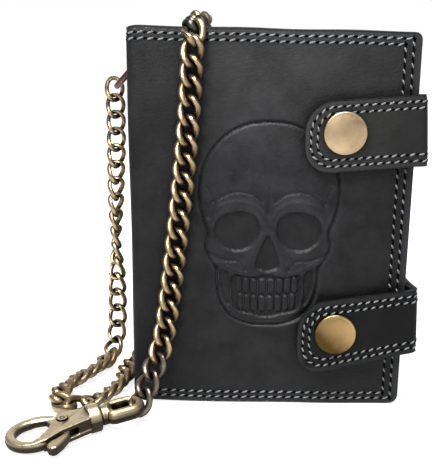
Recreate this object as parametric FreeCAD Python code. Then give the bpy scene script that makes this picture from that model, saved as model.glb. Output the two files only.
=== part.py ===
import FreeCAD, Part
import math
import os
from FreeCAD import Placement, Rotation, Vector

os.makedirs("parts", exist_ok=True)

# A bifold biker wallet standing closed on its bottom edge, with a curb chain and a trigger hook.
# Millimetres.  X runs from the spine to the fore-edge, -Y is the front cover, +Z is up.
# The origin is on the surface it stands on, under the middle of the closed wallet.

# ---------------------------------------------------------------- driving sizes
WIDTH = 101.0            # spine to fore-edge
HEIGHT = 140.0           # bottom edge to top edge
DEPTH = 27.0             # front cover to back cover, closed and empty
CORNER_R = 3.5           # the covers' fore-edge corners

COVER_T = 1.6            # outer leather
LINING_T = 0.8           # lining behind it
NOTE_GAP = 3.0           # room in the note pocket
WELT_W = 4.5             # filler strip sewn round the note pocket
PANEL_T = 1.0            # pocket panels
EDGE_IN = 1.0            # pocket panels stop this far inside the covers' edge
FOLD_ROOM = 5.0          # and this far from the spine, so that the fold can close
FOLD_GAP = 0.2           # clearance each side of a fold line

CARD_T = 0.9             # one card slot's leather
CARD_STEP = 15.0         # each slot shows this much of the one behind
CARD_TOP = 118.0         # top of the rearmost card slot
CARD_TIERS = 4
CARD_SLACK = 6.0         # card slots stop this far from the panel's sides
SLIP_TOP = 92.0          # top of the slip pocket in the back half
SLIP_GAP = 2.2           # room in the slip pocket
NOTCH_R = 11.0           # thumb notch in the slip pocket

LEAF_T = 1.2             # the window leaf between the halves
LEAF_H = 106.0
LEAF_MARGIN = 7.0        # leather left round its window
LEAF_SHORT = 7.0         # the leaf stops this far inside the fore-edge
FILM_T = 0.3             # clear window film

STRAP_T = 1.6            # strap's outer leather
STRAP_LINING_T = 1.2
STRAP_LIFT = 1.8         # the snap holds the strap this far off the front cover
STRAP_TIP = 39.7         # the tip's distance from the fore-edge
STRAP_TIP_R = 10.5       # its rounded corners
BACK_LEG = 34.0          # length sewn on the back cover, from the fore-edge
SNAP_IN = 25.8           # snap centre's distance from the fore-edge

# each strap: height of its snap, of its top and bottom edges there, and their slopes in degrees; how far
# its loop stands off the fore-edge, the loop's slope on its way back, and its corners' outer radius
STRAPS = {
    "upper": {
        "snap": 104.6, "top": 116.0, "bottom": 90.7, "rise_top": 4.6, "rise_bottom": 5.2,
        "out": 0.6, "rise_side": -5.5, "corner": 3.4,
    },
    "lower": {
        "snap": 30.3, "top": 43.0, "bottom": 16.1, "rise_top": 7.0, "rise_bottom": 12.5,
        "out": 1.7, "rise_side": 7.0, "corner": 4.2,
    },
}

CAP_D = 15.0             # snap cap
CAP_H = 2.2
CAP_RIM = 0.7
POST_D = 4.0
CUP_D = 7.4              # the socket's cup, through the strap's lining
CUP_BORE = 6.4
CUP_FLOOR = 0.4
SOCKET_D = 10.4          # the socket's flange
SOCKET_T = 1.0
STUD_HEAD_D = 5.8
STUD_NECK_D = 4.8
STUD_FLANGE_D = 9.0
STUD_FLANGE_T = 0.5
STUD_H = 3.2
RIVET_D = 3.6            # the stud's rivet through the cover
RIVET_FLANGE_D = 8.0
RIVET_FLANGE_T = 0.5

TAB_T = 2.4              # leather tab that carries the chain's ring
TAB_W = 12.0
TAB_Z = 127.0            # its middle
TAB_BEND_X = 8.5         # it leaves the back cover this far from the spine's edge
TAB_BASE = 10.0          # length sewn down
TAB_END = 14.6           # length of the free end
TAB_ANGLE = 30.0         # the free end's angle to the back cover
TAB_HOLE = 8.5           # eyelet's distance from the bend
EYELET_BORE = 6.2
EYELET_TUBE = 0.4
EYELET_FLANGE_D = 10.0
EYELET_FLANGE_T = 0.45

RING_WIRE = 2.2
RING_LOW = Vector(-59.9, 36.0, 115.0)   # the ring's lowest point, where the chain hangs
RING_SIDE = Vector(0.43, 0.74, 0.52)    # the way the wire runs through the eyelet

LINK_WIRE = 2.0
LINK_PITCH = 6.9
LINK_W = 9.0             # outside width of a link
LINK_PLAY = 0.5          # clearance between the wires of two links
LINK_TURN = 45.0         # links stand alternately this far each side of the chain's flat
ROUTE_STEPS = 20000
PITCH_EXACT = 1e-4

# the chain's lay, from the ring to the hook: places, and which way the chain's flat faces there
HANGING = [
    ((RING_LOW.x, RING_LOW.y, RING_LOW.z + 2.1), (0.2, -1, 0), 0),
    ((-60.2, 36.0, 107.0), (0.3, -1, 0), 0),
    ((-61.0, 35.6, 84.0), (0.8, -1, 0), 0),
    ((-61.2, 34.6, 54.0), (0, -1, 0), 0),
    ((-60.9, 33.6, 29.0), (0.3, -1, 0), 0),
    ((-60.8, 32.2, 18.0), (0.2, -1, 0.2), 0),
    ((-61.4, 27.8, 9.4), (0, -0.8, 0.6), 0),
]
FLOOR = [
    ((-64.0, 20.4, 4.7), (0, -0.25, 1), 0),
    ((-69.6, 9.6, 4.1), (0, 0, 1), 0),
    ((-75.2, -0.4, 4.4), (0, 0, 1), 15),
    ((-79.2, -9.4, 5.0), (0, 0, 1), 35),
    ((-80.6, -18.6, 4.95), (0, 0, 1), 45),
    ((-77.8, -27.0, 4.95), (0, 0, 1), 45),
    ((-70.4, -30.2, 4.95), (0, 0, 1), 45),
    ((-64.2, -25.0, 4.95), (0, 0, 1), 45),
    ((-61.8, -16.0, 5.0), (0, 0, 1), 35),
    ((-59.6, -6.8, 4.7), (0, 0, 1), 15),
    ((-57.4, 2.4, 4.2), (0, 0, 1), 0),
    ((-55.6, 11.0, 4.0), (0, 0, 1), 0),
    ((-54.0, 19.4, 4.0), (0, 0.1, 1), 0),
    ((-49.9, 27.6, 4.4), (0, 0.2, 1), 0),
]
BACK = [
    ((-43.0, 32.0, 6.0), (0, 0.4, 1), 0),
    ((-35.6, 31.4, 11.6), (0, 0.8, 0.8), 0),
    ((-31.4, 26.6, 21.6), (0, 1, 0.4), 0),
    ((-29.4, 20.6, 34.0), (0, 1, 0.1), 0),
    ((-28.4, 18.0, 50.0), (0, 1, 0), 0),
    ((-27.4, 17.8, 84.0), (0, 1, 0), 0),
    ((-27.0, 17.8, 116.0), (0, 1, 0), 0),
    ((-26.9, 18.9, 133.0), (0, 1, 0.1), 0),
    ((-26.9, 17.2, 142.9), (0, 0.7, 0.7), 0),
    ((-26.9, 9.2, 147.0), (0, 0.2, 1), 0),
]
DRAPE = [
    ((-26.8, 0.0, 146.6), (0, 0, 1), 0),
    ((-26.8, -9.2, 147.0), (0, -0.2, 1), 0),
    ((-26.8, -17.4, 143.2), (0, -0.7, 0.7), 0),
    ((-27.2, -19.6, 133.0), (0, -1, 0.1), 0),
    ((-28.4, -18.0, 118.0), (0, -1, 0), 0),
    ((-30.4, -18.0, 97.0), (0, -1, 0), 0),
    ((-32.6, -18.0, 76.0), (0, -1, 0), 0),
    ((-35.0, -18.0, 53.0), (0, -1, 0), 0),
    ((-37.4, -18.0, 34.0), (0, -1, 0), 0),
    ((-39.4, -18.4, 24.0), (0, -1, 0), 0),
    ((-42.4, -23.6, 15.2), (-0.1, -1, 0.5), 0),
    ((-44.6, -30.6, 4.9), (-0.2, -1, 0.5), 0),
]

HOOK_EYE_R = 8.2         # the hook's eye, to the middle of its wire
HOOK_WIRE = 3.9
EYE_FROM = 70.0          # the eye's wire runs from here round to the body, less what the gate's sweep takes
EYE_TO = 330.0
PARTING_R = 12.8         # the eye's end is cut on an arc round the rivet, so the gate's nose passes inside it
HOOK_T = 6.0             # the body's thickness
HOOK_SLOT = 2.8          # slot in the body for the gate
HOOK_NECK = 19.0         # the body's end, from the eye's middle
COLLAR_D = 10.0
COLLAR_L = 4.5
PIVOT = (10.5, 0.5)      # the gate's rivet
PIN_D = 2.3
PIN_HEAD_D = 3.6
PIN_HEAD_T = 0.35
PIN_PLAY = 0.08
GATE_T = 2.4
GATE_TIP_GAP = 0.35
STEM_D = 3.0
STEM_PLAY = 0.08
STEM_HEAD_D = 4.6
STEM_HEAD_T = 1.4
HEAD_IN = 1.0            # the stem's head stands this far inside the neck
HOOK_SLOT_END = 15.0
BAIL_WIRE = 3.4
BAIL_HALF = 4.6          # half its width, to the middle of the wire
BAIL_BAR = 27.0          # its bar, from the eye's middle
BAIL_ARM = 9.4           # its straight arms
SPRING_T = 0.3
NOSE_FROM = 28.0         # the gate's nose, degrees round the eye, before the parting cut
NOSE_TO = 110.0
NOSE_W = 3.0
GATE_BOSS_R = 3.2

HOOK_AT = (-81.5, -46.5)     # the eye's middle on the ground
HOOK_HEADING = 24.6          # degrees from +X to the bail's end
GROUND_GAP = 0.05

# ---------------------------------------------------------------- worked out
X_SPINE = -WIDTH / 2
X_FORE = WIDTH / 2
HALF = DEPTH / 2
STRAP_ALL = STRAP_T + STRAP_LINING_T
NODES = []


def save(name, shape):
    shape.exportStep("parts/" + name + ".step")
    NODES.append((name, len(shape.Solids), shape.Volume))


def group(solids):
    return Part.makeCompound(solids)


# ---------------------------------------------------------------- plates of a half
def outline(x0, x1, z0, z1, radius):
    """A face outline in X and Z at y = 0, with its two corners at x1 rounded."""
    if radius <= 0:
        points = [Vector(x0, 0, z0), Vector(x1, 0, z0), Vector(x1, 0, z1), Vector(x0, 0, z1)]
        return Part.makePolygon(points + points[:1])
    low, high = Vector(x1 - radius, 0, z0 + radius), Vector(x1 - radius, 0, z1 - radius)
    turn = radius * math.sqrt(0.5)
    edges = [
        Part.LineSegment(Vector(x0, 0, z0), Vector(x1 - radius, 0, z0)),
        Part.Arc(Vector(x1 - radius, 0, z0), low + Vector(turn, 0, -turn), Vector(x1, 0, z0 + radius)),
        Part.LineSegment(Vector(x1, 0, z0 + radius), Vector(x1, 0, z1 - radius)),
        Part.Arc(Vector(x1, 0, z1 - radius), high + Vector(turn, 0, turn), Vector(x1 - radius, 0, z1)),
        Part.LineSegment(Vector(x1 - radius, 0, z1), Vector(x0, 0, z1)),
        Part.LineSegment(Vector(x0, 0, z1), Vector(x0, 0, z0)),
    ]
    return Part.Wire([edge.toShape() for edge in edges])


def plate(side, x0, x1, z0, z1, deep0, deep1, radius=0.0):
    """A panel between two depths under the outer face of one half: side 1 is the back, -1 the front."""
    face = Part.Face(outline(x0, x1, z0, z1, radius))
    solid = face.extrude(Vector(0, deep1 - deep0, 0))
    solid.translate(Vector(0, HALF - deep1, 0))
    return solid if side > 0 else solid.mirror(Vector(0, 0, 0), Vector(0, 1, 0))


def fold_wedge(side, reach):
    """The room that a half leaves to the spine: everything on the spine's side of the 45 degree line
    through the fold, drawn back by the fold's clearance."""
    corner = Vector(X_SPINE - 1 + FOLD_GAP, side * (HALF + 1), -1)
    points = [
        corner,
        corner + Vector(reach, -side * reach, 0),
        corner + Vector(-reach, -side * reach, 0),
    ]
    prism = Part.Face(Part.makePolygon(points + points[:1])).extrude(Vector(0, 0, HEIGHT + 2))
    return prism


def half_shells(side, holes):
    """Cover and lining of one half, mitred at the fold; holes are cut right through both."""
    wedge = fold_wedge(side, WIDTH / 2)
    cover = plate(side, X_SPINE, X_FORE, 0, HEIGHT, 0, COVER_T, CORNER_R).cut(wedge)
    lining = plate(side, X_SPINE, X_FORE, 0, HEIGHT, COVER_T, COVER_T + LINING_T, CORNER_R).cut(wedge)
    for place, cover_bore, lining_bore in holes:
        across = Vector(0, 1, 0)
        cover = cover.cut(Part.makeCylinder(cover_bore / 2, DEPTH, place, across))
        lining = lining.cut(Part.makeCylinder(lining_bore / 2, DEPTH, place, across))
    return cover, lining


def note_pocket(side):
    """A panel on three welts, open at the top."""
    x0, x1 = X_SPINE + FOLD_ROOM, X_FORE - EDGE_IN
    z0, z1 = EDGE_IN, HEIGHT - EDGE_IN
    deep = COVER_T + LINING_T
    radius = CORNER_R - EDGE_IN
    tray = plate(side, x0, x1, z0, z1, deep, deep + NOTE_GAP + PANEL_T, radius)
    room = plate(side, x0 + WELT_W, x1 - WELT_W, z0 + WELT_W, HEIGHT + 1, deep, deep + NOTE_GAP)
    return tray.cut(room)


def card_slots():
    """Stepped card slots on the inside of the front half, the rearmost the tallest."""
    x0, x1 = X_SPINE + FOLD_ROOM + CARD_SLACK, X_FORE - EDGE_IN - CARD_SLACK
    deep = COVER_T + LINING_T + NOTE_GAP + PANEL_T
    for tier in range(CARD_TIERS):
        top = CARD_TOP - tier * CARD_STEP
        slot = plate(-1, x0, x1, EDGE_IN + WELT_W, top, deep + tier * CARD_T, deep + (tier + 1) * CARD_T)
        save("card_slot_%d" % (tier + 1), slot)


def slip_pocket():
    """A slip pocket with a thumb notch on the inside of the back half."""
    x0, x1 = X_SPINE + FOLD_ROOM + 1, X_FORE - EDGE_IN - 1
    z0 = EDGE_IN + 1
    deep = COVER_T + LINING_T + NOTE_GAP + PANEL_T
    pocket = plate(1, x0, x1, z0, SLIP_TOP, deep, deep + SLIP_GAP + PANEL_T)
    pocket = pocket.cut(plate(1, x0 + WELT_W, x1 - WELT_W, z0 + WELT_W, SLIP_TOP + 1, deep, deep + SLIP_GAP))
    notch = Part.makeCylinder(NOTCH_R, DEPTH, Vector((x0 + x1) / 2, -HALF, SLIP_TOP + 3), Vector(0, 1, 0))
    return pocket.cut(notch)


# ---------------------------------------------------------------- spine and window leaf
def spine_layer(deep0, deep1):
    solid = Part.makeBox(deep1 - deep0, DEPTH, HEIGHT, Vector(X_SPINE + deep0, -HALF, 0))
    for side in (1, -1):
        reach = WIDTH / 2
        corner = Vector(X_SPINE - 1, side * (HALF + 1 - FOLD_GAP), -1)
        points = [
            corner,
            corner + Vector(reach, -side * reach, 0),
            corner + Vector(reach, side * reach, 0),
        ]
        keep_off = Part.Face(Part.makePolygon(points + points[:1])).extrude(Vector(0, 0, HEIGHT + 2))
        solid = solid.cut(keep_off)
    return solid


def window_leaf():
    """A leather frame on the spine with a clear film on each side of its window."""
    x0, x1 = X_SPINE + COVER_T + LINING_T, X_FORE - LEAF_SHORT
    z0 = (HEIGHT - LEAF_H) / 2
    frame = Part.Face(outline(x0, x1, z0, z0 + LEAF_H, CORNER_R)).extrude(Vector(0, LEAF_T, 0))
    frame.translate(Vector(0, -LEAF_T / 2, 0))
    film_x0, film_x1 = x0 + LEAF_MARGIN * 2, x1 - LEAF_MARGIN
    film_z0, film_z1 = z0 + LEAF_MARGIN, z0 + LEAF_H - LEAF_MARGIN
    window = Part.makeBox(film_x1 - film_x0, LEAF_T, film_z1 - film_z0, Vector(film_x0, -LEAF_T / 2, film_z0))
    films = [
        Part.makeBox(film_x1 - film_x0 + 2 * FILM_T, FILM_T, film_z1 - film_z0 + 2 * FILM_T, corner)
        for corner in (
            Vector(film_x0 - FILM_T, -LEAF_T / 2 - FILM_T, film_z0 - FILM_T),
            Vector(film_x0 - FILM_T, LEAF_T / 2, film_z0 - FILM_T),
        )
    ]
    return frame.cut(window), group(films)


# ---------------------------------------------------------------- straps and snaps
def band(strap, inner, outer):
    """The strap's run seen from above, between two distances from its inner face: front leg, loop
    round the fore-edge, back leg.  Corners are round outside and follow inside."""
    front = -(HALF + STRAP_LIFT)
    side = X_FORE + strap["out"]
    back = HALF

    def offset(distance):
        radius = max(strap["corner"] - (STRAP_ALL - distance), 0.4)
        x1, y0, y1 = side + distance, front - distance, back + distance
        left = X_FORE - STRAP_TIP - STRAP_TIP_R
        turn = radius * math.sqrt(0.5)
        low, high = Vector(x1 - radius, y0 + radius, 0), Vector(x1 - radius, y1 - radius, 0)
        return [
            Part.LineSegment(Vector(left, y0, 0), Vector(x1 - radius, y0, 0)),
            Part.Arc(Vector(x1 - radius, y0, 0), low + Vector(turn, -turn, 0), Vector(x1, y0 + radius, 0)),
            Part.LineSegment(Vector(x1, y0 + radius, 0), Vector(x1, y1 - radius, 0)),
            Part.Arc(Vector(x1, y1 - radius, 0), high + Vector(turn, turn, 0), Vector(x1 - radius, y1, 0)),
            Part.LineSegment(Vector(x1 - radius, y1, 0), Vector(left, y1, 0)),
        ]

    out, inn = offset(outer), offset(inner)
    ends = [
        Part.LineSegment(out[-1].EndPoint, inn[-1].EndPoint),
        Part.LineSegment(inn[0].StartPoint, out[0].StartPoint),
    ]
    edges = [edge.toShape() for edge in out + inn + ends]
    face = Part.Face(Part.Wire(Part.__sortEdges__(edges)))
    return face.extrude(Vector(0, 0, HEIGHT))


def strap_edges(strap):
    """Heights of the strap's edges: at the snap, at the loop's front corner and at its back corner."""
    corner_run = SNAP_IN + strap["out"] + STRAP_ALL
    loop_run = DEPTH + STRAP_LIFT + 2 * STRAP_ALL
    rise = math.tan(math.radians(strap["rise_top"]))
    fall = math.tan(math.radians(strap["rise_bottom"]))
    top, bottom = strap["top"], strap["bottom"]
    front = (top + corner_run * rise, bottom + corner_run * fall)
    side = loop_run * math.tan(math.radians(strap["rise_side"]))
    back = (front[0] + side, front[1] + side)
    return (top, bottom), front, back


def tongue_face(strap):
    """The front leg's outline in X and Z, with a rounded tip."""
    snap_x, corner_x = X_FORE - SNAP_IN, X_FORE + strap["out"] + STRAP_ALL
    (top, bottom), (top_front, bottom_front), _ = strap_edges(strap)
    tip_x = X_FORE - STRAP_TIP
    rise = (top_front - top) / (corner_x - snap_x)
    fall = (bottom_front - bottom) / (corner_x - snap_x)
    points = [
        Vector(corner_x, 0, top_front),
        Vector(tip_x, 0, top - rise * (snap_x - tip_x)),
        Vector(tip_x, 0, bottom - fall * (snap_x - tip_x)),
        Vector(corner_x, 0, bottom_front),
    ]
    face = Part.Face(Part.makePolygon(points + points[:1]))
    solid = face.extrude(Vector(0, DEPTH, 0))
    tip_edges = [edge for edge in solid.Edges if abs(edge.BoundBox.XMax - tip_x) < 1e-6 and edge.BoundBox.YLength > 1]
    solid = solid.makeFillet(STRAP_TIP_R, tip_edges)
    solid.translate(Vector(0, -HALF - DEPTH + 1, 0))
    return solid


def loop_prisms(strap):
    """The shapes that trim the loop and the back leg to their slanting edges."""
    _, (top_front, bottom_front), (top_back, bottom_back) = strap_edges(strap)
    front = -(HALF + STRAP_LIFT + STRAP_ALL)
    back = HALF + STRAP_ALL
    out = X_FORE + strap["out"] + STRAP_ALL
    loop = [
        Vector(X_FORE - BACK_LEG, front, top_front),
        Vector(X_FORE - BACK_LEG, back, top_back),
        Vector(X_FORE - BACK_LEG, back, bottom_back),
        Vector(X_FORE - BACK_LEG, front, bottom_front),
    ]
    run = out - (X_FORE - BACK_LEG)
    rise = math.tan(math.radians(strap["rise_side"])) * run
    leg = [
        Vector(out, 0, top_back),
        Vector(X_FORE - BACK_LEG, 0, top_back + rise),
        Vector(X_FORE - BACK_LEG, 0, bottom_back + rise),
        Vector(out, 0, bottom_back),
    ]
    loop = Part.Face(Part.makePolygon(loop + loop[:1])).extrude(Vector(run + 1, 0, 0))
    leg = Part.Face(Part.makePolygon(leg + leg[:1])).extrude(Vector(0, DEPTH, 0))
    return loop, leg


def corner_wedge(strap, y_corner, turned):
    """A quarter of the plane seen from above, beside a corner of the loop, for its 45 degree mitre."""
    reach = WIDTH
    out = X_FORE + strap["out"] + STRAP_ALL
    away = 1 if y_corner > 0 else -1
    tip = Vector(out + 1, y_corner + away, 0)
    if turned:
        points = [tip, tip + Vector(-reach, -away * reach, 0), tip + Vector(-reach, away * reach, 0)]
    else:
        points = [tip, tip + Vector(-reach, -away * reach, 0), tip + Vector(reach, -away * reach, 0)]
    return Part.Face(Part.makePolygon(points + points[:1])).extrude(Vector(0, 0, HEIGHT))


def strap(name, strap):
    snap_at = Vector(X_FORE - SNAP_IN, 0, strap["snap"])
    toward = Vector(0, -1, 0)
    face_y = -(HALF + STRAP_LIFT)
    cup = Part.makeCylinder(CUP_D / 2, STRAP_LINING_T + 0.9, snap_at + Vector(0, face_y, 0), toward)
    post_hole = Part.makeCylinder(POST_D / 2, STRAP_ALL, snap_at + Vector(0, face_y, 0), toward)
    tongue = tongue_face(strap)
    loop, leg = loop_prisms(strap)
    front_y, back_y = face_y - STRAP_ALL, HALF + STRAP_ALL
    for layer, inner, outer in (("_lining", 0, STRAP_LINING_T), ("", STRAP_LINING_T, STRAP_ALL)):
        whole = band(strap, inner, outer)
        front_leg = whole.common(tongue).common(corner_wedge(strap, front_y, True))
        gap = corner_wedge(strap, front_y, False)
        gap.translate(Vector(-FOLD_GAP, 0, 0))
        front_leg = front_leg.cut(gap).cut(cup).cut(post_hole)
        side = whole.common(loop).common(corner_wedge(strap, front_y, False)).cut(corner_wedge(strap, back_y, True))
        gap = corner_wedge(strap, front_y, True)
        gap.translate(Vector(FOLD_GAP, 0, 0))
        side = side.cut(gap)
        back = whole.common(leg).common(corner_wedge(strap, back_y, True))
        wrap = side.fuse(back).removeSplitter()
        save(name + "_strap_tongue" + layer, front_leg)
        save(name + "_strap_wrap" + layer, wrap)

    # snap: cap and socket on the strap, stud and its rivet on the cover
    outer_y = face_y - STRAP_ALL
    cup_end = face_y - STRAP_LINING_T - 0.9
    axis = Vector(0, 0, 1)
    cap = Part.makeCylinder(CAP_D / 2, CAP_RIM, Vector(0, 0, 0), axis)
    dome_r = ((CAP_D / 2) ** 2 + (CAP_H - CAP_RIM) ** 2) / (2 * (CAP_H - CAP_RIM))
    dome = Part.makeSphere(dome_r, Vector(0, 0, CAP_H - dome_r))
    dome = dome.common(Part.makeCylinder(CAP_D / 2, CAP_H - CAP_RIM, Vector(0, 0, CAP_RIM), axis))
    post = Part.makeCylinder(POST_D / 2, abs(outer_y - cup_end), Vector(0, 0, outer_y - cup_end), axis)
    cap = cap.fuse(dome).fuse(post).removeSplitter()
    turn = Rotation(Vector(0, 0, 1), toward)
    cap.Placement = Placement(snap_at + Vector(0, outer_y, 0), turn)
    socket = Part.makeCylinder(SOCKET_D / 2, SOCKET_T, Vector(0, 0, -SOCKET_T), axis)
    socket = socket.fuse(Part.makeCylinder(CUP_D / 2, abs(cup_end - face_y), Vector(0, 0, 0), axis))
    bore = Part.makeCylinder(CUP_BORE / 2, SOCKET_T + abs(cup_end - face_y) - CUP_FLOOR, Vector(0, 0, -SOCKET_T), axis)
    socket = socket.cut(bore).removeSplitter()
    socket.Placement = Placement(snap_at + Vector(0, face_y, 0), turn)
    stud = Part.makeCylinder(STUD_FLANGE_D / 2, STUD_FLANGE_T)
    stud = stud.fuse(Part.makeCylinder(STUD_NECK_D / 2, STUD_H - CAP_RIM))
    head = Part.makeCylinder(STUD_HEAD_D / 2, STUD_H / 2, Vector(0, 0, STUD_H / 2))
    head = head.makeFillet(CAP_RIM / 2, [edge for edge in head.Edges if edge.Length > STUD_HEAD_D * 3])
    stud = stud.fuse(head).removeSplitter()
    stud.Placement = Placement(snap_at + Vector(0, -HALF, 0), turn)
    rivet = Part.makeCylinder(RIVET_D / 2, COVER_T, Vector(0, 0, -COVER_T))
    rivet = rivet.fuse(Part.makeCylinder(RIVET_FLANGE_D / 2, RIVET_FLANGE_T, Vector(0, 0, -COVER_T - RIVET_FLANGE_T)))
    rivet = rivet.removeSplitter()
    rivet.Placement = Placement(snap_at + Vector(0, -HALF, 0), turn)
    save(name + "_snap_cap", cap)
    save(name + "_snap_socket", socket)
    save(name + "_snap_stud", stud)
    save(name + "_snap_rivet", rivet)


# ---------------------------------------------------------------- chain tab and ring
def tab_frame():
    """Where the tab's free end starts, the way it goes, its outward normal and its eyelet's middle."""
    angle = math.radians(TAB_ANGLE)
    start = Vector(X_SPINE + TAB_BEND_X, HALF, TAB_Z)
    along = Vector(-math.cos(angle), math.sin(angle), 0)
    normal = Vector(math.sin(angle), math.cos(angle), 0)
    return start, along, normal, start + along * TAB_HOLE + normal * (TAB_T / 2)


def chain_tab():
    start, along, normal, eye = tab_frame()
    base = Part.makeBox(TAB_BASE, TAB_T, TAB_W, start - Vector(0, 0, TAB_W / 2))
    free = Part.Face(outline(0, TAB_END, -TAB_W / 2, TAB_W / 2, TAB_W / 2 - 0.01)).extrude(Vector(0, -TAB_T, 0))
    free.Placement = Placement(start, Rotation(along, -normal, Vector(0, 0, 1), "XYZ"))
    wedge = [start, start + Vector(0, TAB_T, 0), start + normal * TAB_T]
    knee = Part.Face(Part.makePolygon(wedge + wedge[:1])).extrude(Vector(0, 0, TAB_W))
    knee.translate(Vector(0, 0, -TAB_W / 2))
    tab = base.fuse(free).fuse(knee).removeSplitter()
    tube_r = EYELET_BORE / 2 + EYELET_TUBE
    tab = tab.cut(Part.makeCylinder(tube_r, TAB_T * 3, eye - normal * (TAB_T * 1.5), normal))
    length = TAB_T + 2 * EYELET_FLANGE_T
    foot = eye - normal * (length / 2)
    eyelet = Part.makeCylinder(tube_r, length, foot, normal)
    for place in (foot, foot + normal * (length - EYELET_FLANGE_T)):
        eyelet = eyelet.fuse(Part.makeCylinder(EYELET_FLANGE_D / 2, EYELET_FLANGE_T, place, normal))
    eyelet = eyelet.cut(Part.makeCylinder(EYELET_BORE / 2, length, foot, normal)).removeSplitter()
    return tab, eyelet, eye


def tab_ring(eye):
    """A round ring through the eyelet, its lowest point where the chain hangs."""
    across = RING_LOW - eye
    radius = across.Length / 2
    side = RING_SIDE - across * (RING_SIDE.dot(across) / across.dot(across))
    normal = across.cross(side)
    ring = Part.makeTorus(radius, RING_WIRE / 2, Vector(0, 0, 0), Vector(0, 0, 1))
    ring.Placement = Placement((RING_LOW + eye) * 0.5, Rotation(Vector(0, 0, 1), normal))
    print("ring radius %.2f, centre %s, normal %s" % (radius, (RING_LOW + eye) * 0.5, normal.normalize()))
    print("ring tangent at the eyelet", side.normalize())
    return ring


# ---------------------------------------------------------------- chain
def loop_of_wire(half_length, half_width, wire):
    """A long link lying along X in the XY plane: two half rings and two straight sides."""
    straight = half_length - half_width
    up = Vector(0, 0, 1)
    link = None
    for sign, start in ((1, -90), (-1, 90)):
        end = Part.makeTorus(half_width, wire / 2, Vector(0, 0, 0), up, 0, 360, 180)
        end.Placement = Placement(Vector(sign * straight, 0, 0), Rotation(up, start))
        link = end if link is None else link.fuse(end)
    for sign in (1, -1):
        side = Part.makeCylinder(wire / 2, 2 * straight, Vector(-straight, sign * half_width, 0), Vector(1, 0, 0))
        link = link.fuse(side)
    return link.removeSplitter()


def walk(points, pitch):
    """Joints along a row of near points, each one pitch from the last."""
    joints = [0]
    for number, point in enumerate(points):
        if (point - points[joints[-1]]).Length >= pitch:
            joints.append(number)
    return joints


def lay_out(stations):
    """Link places along the whole route: (middle, direction, flat's normal, lean), an even number end to end."""
    curve = Part.BSplineCurve()
    curve.interpolate([Vector(*station[0]) for station in stations])
    knots = curve.getKnots()
    first, last = curve.FirstParameter, curve.LastParameter
    fine = [first + (last - first) * i / ROUTE_STEPS for i in range(ROUTE_STEPS + 1)]
    points = [curve.value(u) for u in fine]
    # the pitch is eased, within the links' play, until the last joint falls at the route's end
    count = (len(walk(points, LINK_PITCH)) - 1) // 2 * 2
    tight, loose = LINK_PITCH * (count - 2) / count, LINK_PITCH * (count + 2) / count
    while loose - tight > PITCH_EXACT:
        pitch = (tight + loose) / 2
        if len(walk(points, pitch)) - 1 >= count:
            tight = pitch
        else:
            loose = pitch
    joints = walk(points, tight)
    links = []
    for start, end in zip(joints, joints[1:]):
        u = (fine[start] + fine[end]) / 2
        k = max(i for i in range(len(knots) - 1) if knots[i] <= u)
        share = (u - knots[k]) / (knots[k + 1] - knots[k])
        flat = Vector(*stations[k][1]) * (1 - share) + Vector(*stations[k + 1][1]) * share
        lean = stations[k][2] * (1 - share) + stations[k + 1][2] * share
        a, b = points[start], points[end]
        links.append(((a + b) * 0.5, b - a, flat, lean))
    print("chain: %d links at %.3f mm" % (len(links), tight))
    return links


def chain():
    """One long row of links, saved run by run."""
    half_length = (LINK_PITCH + LINK_WIRE + LINK_PLAY) / 2
    half_width = (LINK_W - LINK_WIRE) / 2
    pattern = loop_of_wire(half_length, half_width, LINK_WIRE)
    runs = (("chain_hanging_run", HANGING), ("chain_floor_loop", FLOOR), ("chain_back_run", BACK), ("chain_drape", DRAPE))
    links, solids = lay_out([station for _, run in runs for station in run]), []
    for number, (middle, along, flat, lean) in enumerate(links):
        along.normalize()
        normal = (flat - along * flat.dot(along)).normalize()
        turn = Rotation(along, normal.cross(along), normal, "XYZ")
        roll = Rotation(Vector(1, 0, 0), lean + (-LINK_TURN if number % 2 else LINK_TURN))
        link = pattern.copy()
        link.Placement = Placement(middle, turn.multiply(roll))
        solids.append(link)
    start = 0
    for name, run in runs:
        # a run ends at the link nearest to its last station
        end = min(range(len(links)), key=lambda i: (links[i][0] - Vector(*run[-1][0])).Length)
        save(name, group(solids[start : end + 1]))
        start = end + 1
    last, first = solids[-1].Placement, solids[0].Placement
    print("first", first.Base, "normal", first.Rotation.multVec(Vector(0, 0, 1)))
    print("last", last.Base, "along", last.Rotation.multVec(Vector(1, 0, 0)), "normal", last.Rotation.multVec(Vector(0, 0, 1)))


# ---------------------------------------------------------------- trigger hook
def hook_placement():
    """The hook rests on its eye's far end and on its collar."""
    low = HOOK_WIRE / 2 + GROUND_GAP
    rise = COLLAR_D / 2 + GROUND_GAP - low
    tilt = math.asin(rise / (HOOK_NECK + COLLAR_L / 2 + HOOK_EYE_R))
    height = low + HOOK_EYE_R * math.sin(tilt)
    heading = math.radians(HOOK_HEADING)
    along = Vector(math.cos(heading) * math.cos(tilt), math.sin(heading) * math.cos(tilt), math.sin(tilt))
    across = Vector(-math.sin(heading), math.cos(heading), 0)
    middle = Vector(HOOK_AT[0], HOOK_AT[1], height)
    return Placement(middle, Rotation(along, across, along.cross(across), "XYZ"))


def extruded(points, low, high):
    corners = [Vector(x, y, low) for x, y in points]
    return Part.Face(Part.makePolygon(corners + corners[:1])).extrude(Vector(0, 0, high - low))


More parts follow.
